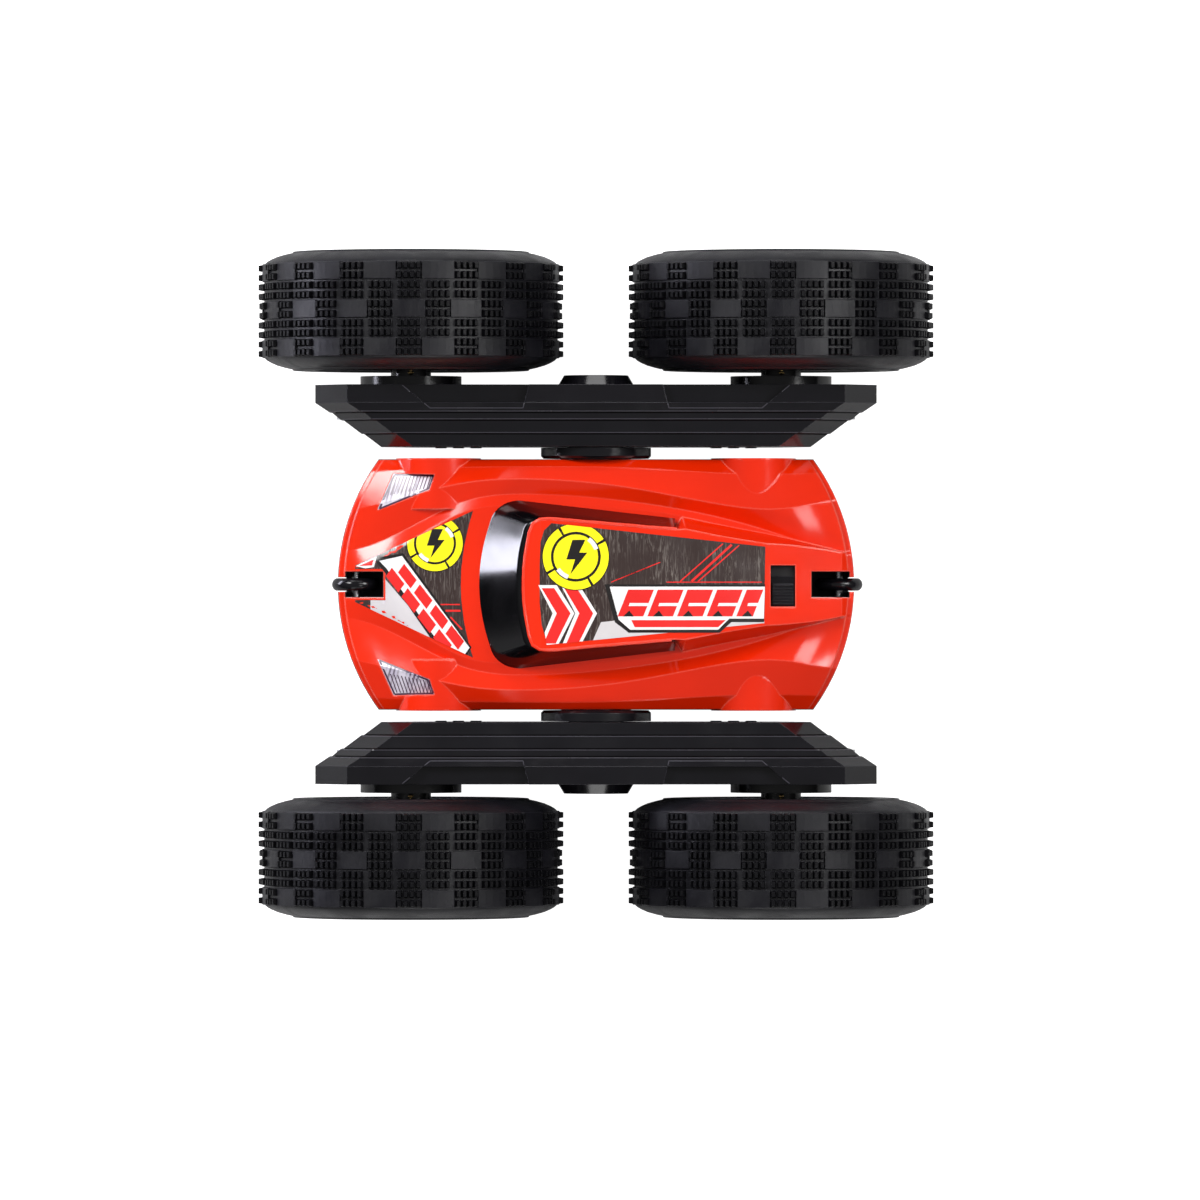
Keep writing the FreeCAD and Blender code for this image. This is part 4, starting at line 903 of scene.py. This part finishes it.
# %% [markdown]
# A moulded roof has a rounded edge, which catches a thin highlight. The frame's edge is sharp and its mesh
# stays as it is, so a round bead is laid along it. The edge is found by walking outwards over the roof until
# it drops, and a curve with a bevel through those points gives the bead.

# %% Walking to the roof's edge
WALK_STEP = 0.2 * MM
ROOF_FALL = 0.9 * MM


def height_at(x, y):
    """The shell's height under a point, or a metre below zero beside it."""
    hit = shell.ray_cast(Vector((x, y, RAY_START)), DOWN)
    return hit[0].z if hit[0] is not None else -1.0


def last_on_roof(x, y, dx, dy, reach, fall=ROOF_FALL):
    """The last point on the roof on the way from (x, y) along (dx, dy)."""
    step, before = WALK_STEP, height_at(x, y)
    for number in range(1, int(reach / step)):
        here = height_at(x + dx * step * number, y + dy * step * number)
        if before - here > fall:
            return Vector((x + dx * step * (number - 1), y + dy * step * (number - 1), before))
        before = here
    return None


FAN = 28
FAN_REACH, SIDE_REACH = 45 * MM, 40 * MM
rim = []
for number in range(FAN + 1):
    angle = math.radians(90 + 180 * number / FAN)
    found = last_on_roof(CABIN_MIDDLE.x, 0.0, math.cos(angle), math.sin(angle), FAN_REACH)
    if found is not None:
        rim.append(found)
right_side = [last_on_roof(x * MM, 0.0, 0.0, 1.0, SIDE_REACH) for x in range(68, -10, -6)]
left_side = [last_on_roof(x * MM, 0.0, 0.0, -1.0, SIDE_REACH) for x in range(-6, 70, 6)]
rim = [p for p in right_side if p is not None] + rim + [p for p in left_side if p is not None]
print("roof bead points", len(rim))

# %% Roof bead
BEAD_SIZE = 0.75 * MM
BEAD_SINK = 0.45 * MM
curve = bpy.data.curves.new("roof_bead", "CURVE")
curve.dimensions = "3D"
curve.bevel_depth = BEAD_SIZE
curve.bevel_resolution = 3
spline = curve.splines.new("POLY")
spline.points.add(len(rim) - 1)
for point, place in zip(spline.points, rim):
    point.co = (place.x, place.y, place.z - BEAD_SINK, 1)
bead_curve = bpy.data.objects.new("roof_bead_curve", curve)
bpy.context.scene.collection.objects.link(bead_curve)
depsgraph = bpy.context.evaluated_depsgraph_get()
bead_data = bpy.data.meshes.new_from_object(bead_curve.evaluated_get(depsgraph))
bpy.data.objects.remove(bead_curve)
bead = bpy.data.objects.new("roof_bead", bead_data)
bpy.context.scene.collection.objects.link(bead)
for face in bead.data.polygons:
    face.use_smooth = True
bead.data.materials.clear()
bead.data.materials.append(red_plastic)
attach(bead, "car_body")
print("roof bead faces", len(bead_data.polygons))

# %% [markdown]
# ## Headlamp slats
# Eleven thin bars lean across each headlamp inside a rim of four bars. They are printed sheets like the
# stickers, but the rays also stop at the lens, so they lie on top of it.

# %% Headlamp slats and rims, printed on the film
SLATS = 11
lamp_tree = shell_tree("upper_shell", "headlamp_lenses")
LAMP = [(-80.4, 43.8), (-64.8, 43.4), (-66.8, 38.2), (-86.4, 30.2)]
film_dark = ink("lamp_slat_violet", (0.07, 0.035, 0.065))
for name, side in (("right", 1), ("left", -1)):
    rim = [(x, side * y) for x, y in LAMP]
    frame_bars = [bar(*rim[i], *rim[(i + 1) % 4], 0.7) for i in range(4)]
    sheet(f"lamp_rim_{name}", frame_bars, 0, film_dark, lamp_tree)
    slat_lines = []
    for number in range(SLATS):
        share = number / (SLATS - 1)
        outer_end = (-79.4 + 13.6 * share, side * 43.2)
        inner_end = (-82.0 + 14.6 * share, side * (35.7 + 2.6 * share))
        slat_lines.append(bar(*outer_end, *inner_end, 0.42))
    sheet(f"lamp_slats_{name}", slat_lines, 0, film_dark, lamp_tree)
print("lamp slats laid")

# %% [markdown]
# ## Arms
# The casing of an arm climbs in steps, and from above each step reads as a dark line with a thin light edge.
# The frame's solid has the steps, but soft light from everywhere hides them. So a dark sheet paints the shade
# under each step and a light one paints a highlight on its edge and along the notches, and both are mirrored
# to the arm's lower side, which comes up when the arm swings over.

# %% Finishes for the arms' painted shade and painted highlights
step_highlight_paint = finish(
    "arm_step_painted_highlight", (0.035, 0.033, 0.042), (0.05, 0.05, 0.06), gloss=(0.2, 0.3), grain_depth=0.1)
step_shade_paint = finish(
    "arm_step_painted_shade", (0.0008, 0.0008, 0.001), (0.002, 0.002, 0.002), gloss=(0.5, 0.6), grain_depth=0.1,
    Specular_IOR_Level=0.05)
print("arm line finishes:", step_highlight_paint.name, step_shade_paint.name)

# %% Painted shade under the arms' steps, painted highlights on their edges
STEP_LINES = (68.8, 65.7, 60.3)
SHADE_STRIP, HIGHLIGHT_STRIP, NOTCH_WIDTH = 0.6, 0.35, 0.4
END_GAP = 0.6
END_SLOPE = 1.5
NOTCH_LINE = [(-77, 79.2), (-66, 70.2), (-29, 70.2), (-26.9, 79.2)]
arm_half_length = (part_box("arm_outer_cover_right")[1].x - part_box("arm_outer_cover_right")[0].x) / 2 / MM
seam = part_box("arm_inner_cover_right")[1].y / MM
for name, side in (("right", 1), ("left", -1)):
    arm_tree = shell_tree(f"arm_inner_cover_{name}", f"arm_outer_cover_{name}")
    dark, light = [], []
    # Each step gets a dark strip of painted shade just inside it and a pale strip of painted highlight on its
    # edge.
    for y in STEP_LINES:
        reach = arm_half_length - END_SLOPE * (seam - y) - END_GAP
        for strips, y0, y1 in ((dark, y - SHADE_STRIP, y), (light, y, y + HIGHLIGHT_STRIP)):
            strips.append([(-reach, side * y0), (reach, side * y0), (reach, side * y1), (-reach, side * y1)])
    # Pale bars along the notch outline paint highlights on its edges.
    for ends in (1, -1):
        points = [(ends * x, side * y) for x, y in NOTCH_LINE]
        light += [bar(*a, *b, NOTCH_WIDTH) for a, b in zip(points, points[1:])]
    on_arm = dict(target=arm_tree, body=f"arm_{name}", slot="black_arm", grid=MM, drop=30 * MM)
    upper = [sheet(f"arm_grooves_{name}", dark, 0, step_shade_paint, **on_arm),
             sheet(f"arm_edges_{name}", light, 0, step_highlight_paint, **on_arm)]
    for above in upper:
        below = bpy.data.objects.new(above.name + "_below", above.data.copy())
        bpy.context.scene.collection.objects.link(below)
        for vertex in below.data.vertices:
            vertex.co.z = 2 * axle_height - vertex.co.z
        below.data.flip_normals()
        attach(below, f"arm_{name}")
print("arm grooves laid")

# %% [markdown]
# ## Hub pins
# A small brass pin stands on each wheel's hub, between the arm and the tyre. A plain cylinder would have a
# sharp rim, so the pin is turned from an outline of radius and height that ends in a small chamfer. It rides
# on the wheel and goes round with it.

# %% Brass pins on the wheel hubs
brass = finish(
    "brass_pin", (0.75, 0.52, 0.22), (0.95, 0.8, 0.5), gloss=(0.15, 0.3), smudge_mm=3, grain_depth=0.1,
    metallic=1.0, edge_width=0.0002)
PIN = [(0, -0.4), (1.1, -0.4), (1.1, 1.5), (0.8, 1.9), (0, 2.0)]
PIN_STEPS = 16
PIN_OUT = 84.6 * MM
PIN_UP = 8 * MM
for name in wheel_names:
    low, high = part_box(f"wheel_gear_{name}")
    outward = 1 if high.y > 0 else -1
    pin_vertices, pin_faces = [], []
    for step in range(PIN_STEPS):
        turn = math.tau * step / PIN_STEPS
        pin_vertices += [(r * MM * math.cos(turn), r * MM * math.sin(turn), z * MM) for r, z in PIN]
    for step in range(PIN_STEPS):
        a, b = step * len(PIN), (step + 1) % PIN_STEPS * len(PIN)
        pin_faces += [(a + i, b + i, b + i + 1, a + i + 1) for i in range(len(PIN) - 1)]
    pin = mesh_object(f"hub_pin_{name}", pin_vertices, pin_faces, smooth=True)
    pin.location = ((low.x + high.x) / 2, outward * PIN_OUT, axle_height + PIN_UP)
    pin.data.materials.append(brass)
    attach(pin, f"{name}_wheel")
print("hub pins placed")

# %% [markdown]
# ## Roller pockets
# The small rollers at nose and tail sit in slots that are closed below on a real car. In the frame the slots
# run right through, and light would shine up past the rollers. A solid block would fill the slot and hit the
# roller, so a thin black liner of six faces covers only the walls and the floor.

# %% Pocket liners
POCKET_HALF = 5.05 * MM
POCKET_INNER = 11.0 * MM
POCKET_OUTER = 4.0 * MM
POCKET_DEPTH = 11.9 * MM
MOUTH_HALF = 2.8 * MM
BESIDE = 1.5 * MM
BELOW_SKIN = 0.5 * MM
LINER_WALL = 0.25 * MM
for name in ("front", "rear"):
    low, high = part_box(f"{name}_roller")
    middle = (low + high) / 2
    out = -1 if middle.x < 0 else 1
    near, far = middle.x - out * POCKET_INNER, middle.x + out * POCKET_OUTER
    floor_z = middle.z - POCKET_DEPTH
    vertices = []
    for x in (near, far):
        for side in (-1, 1):
            hit = shell.ray_cast(Vector((x, side * (POCKET_HALF + BESIDE), RAY_START)), DOWN)
            vertices += [(x, side * POCKET_HALF, floor_z), (x, side * POCKET_HALF, hit[0].z - BELOW_SKIN)]
    mouth_z = vertices[5][2]
    vertices += [(far, side * MOUTH_HALF, z) for side in (-1, 1) for z in (floor_z, mouth_z)]
    faces = [(0, 4, 6, 2), (0, 2, 3, 1), (0, 1, 5, 4), (2, 6, 7, 3), (4, 5, 9, 8), (6, 10, 11, 7)]
    liner = mesh_object(f"pocket_liner_{name}", vertices, faces)
    thick = liner.modifiers.new("wall", "SOLIDIFY")
    thick.thickness = LINER_WALL
    thick.offset = 0
    liner.data.materials.append(black_matt)
    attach(liner, "car_body")
print("pocket liners placed")
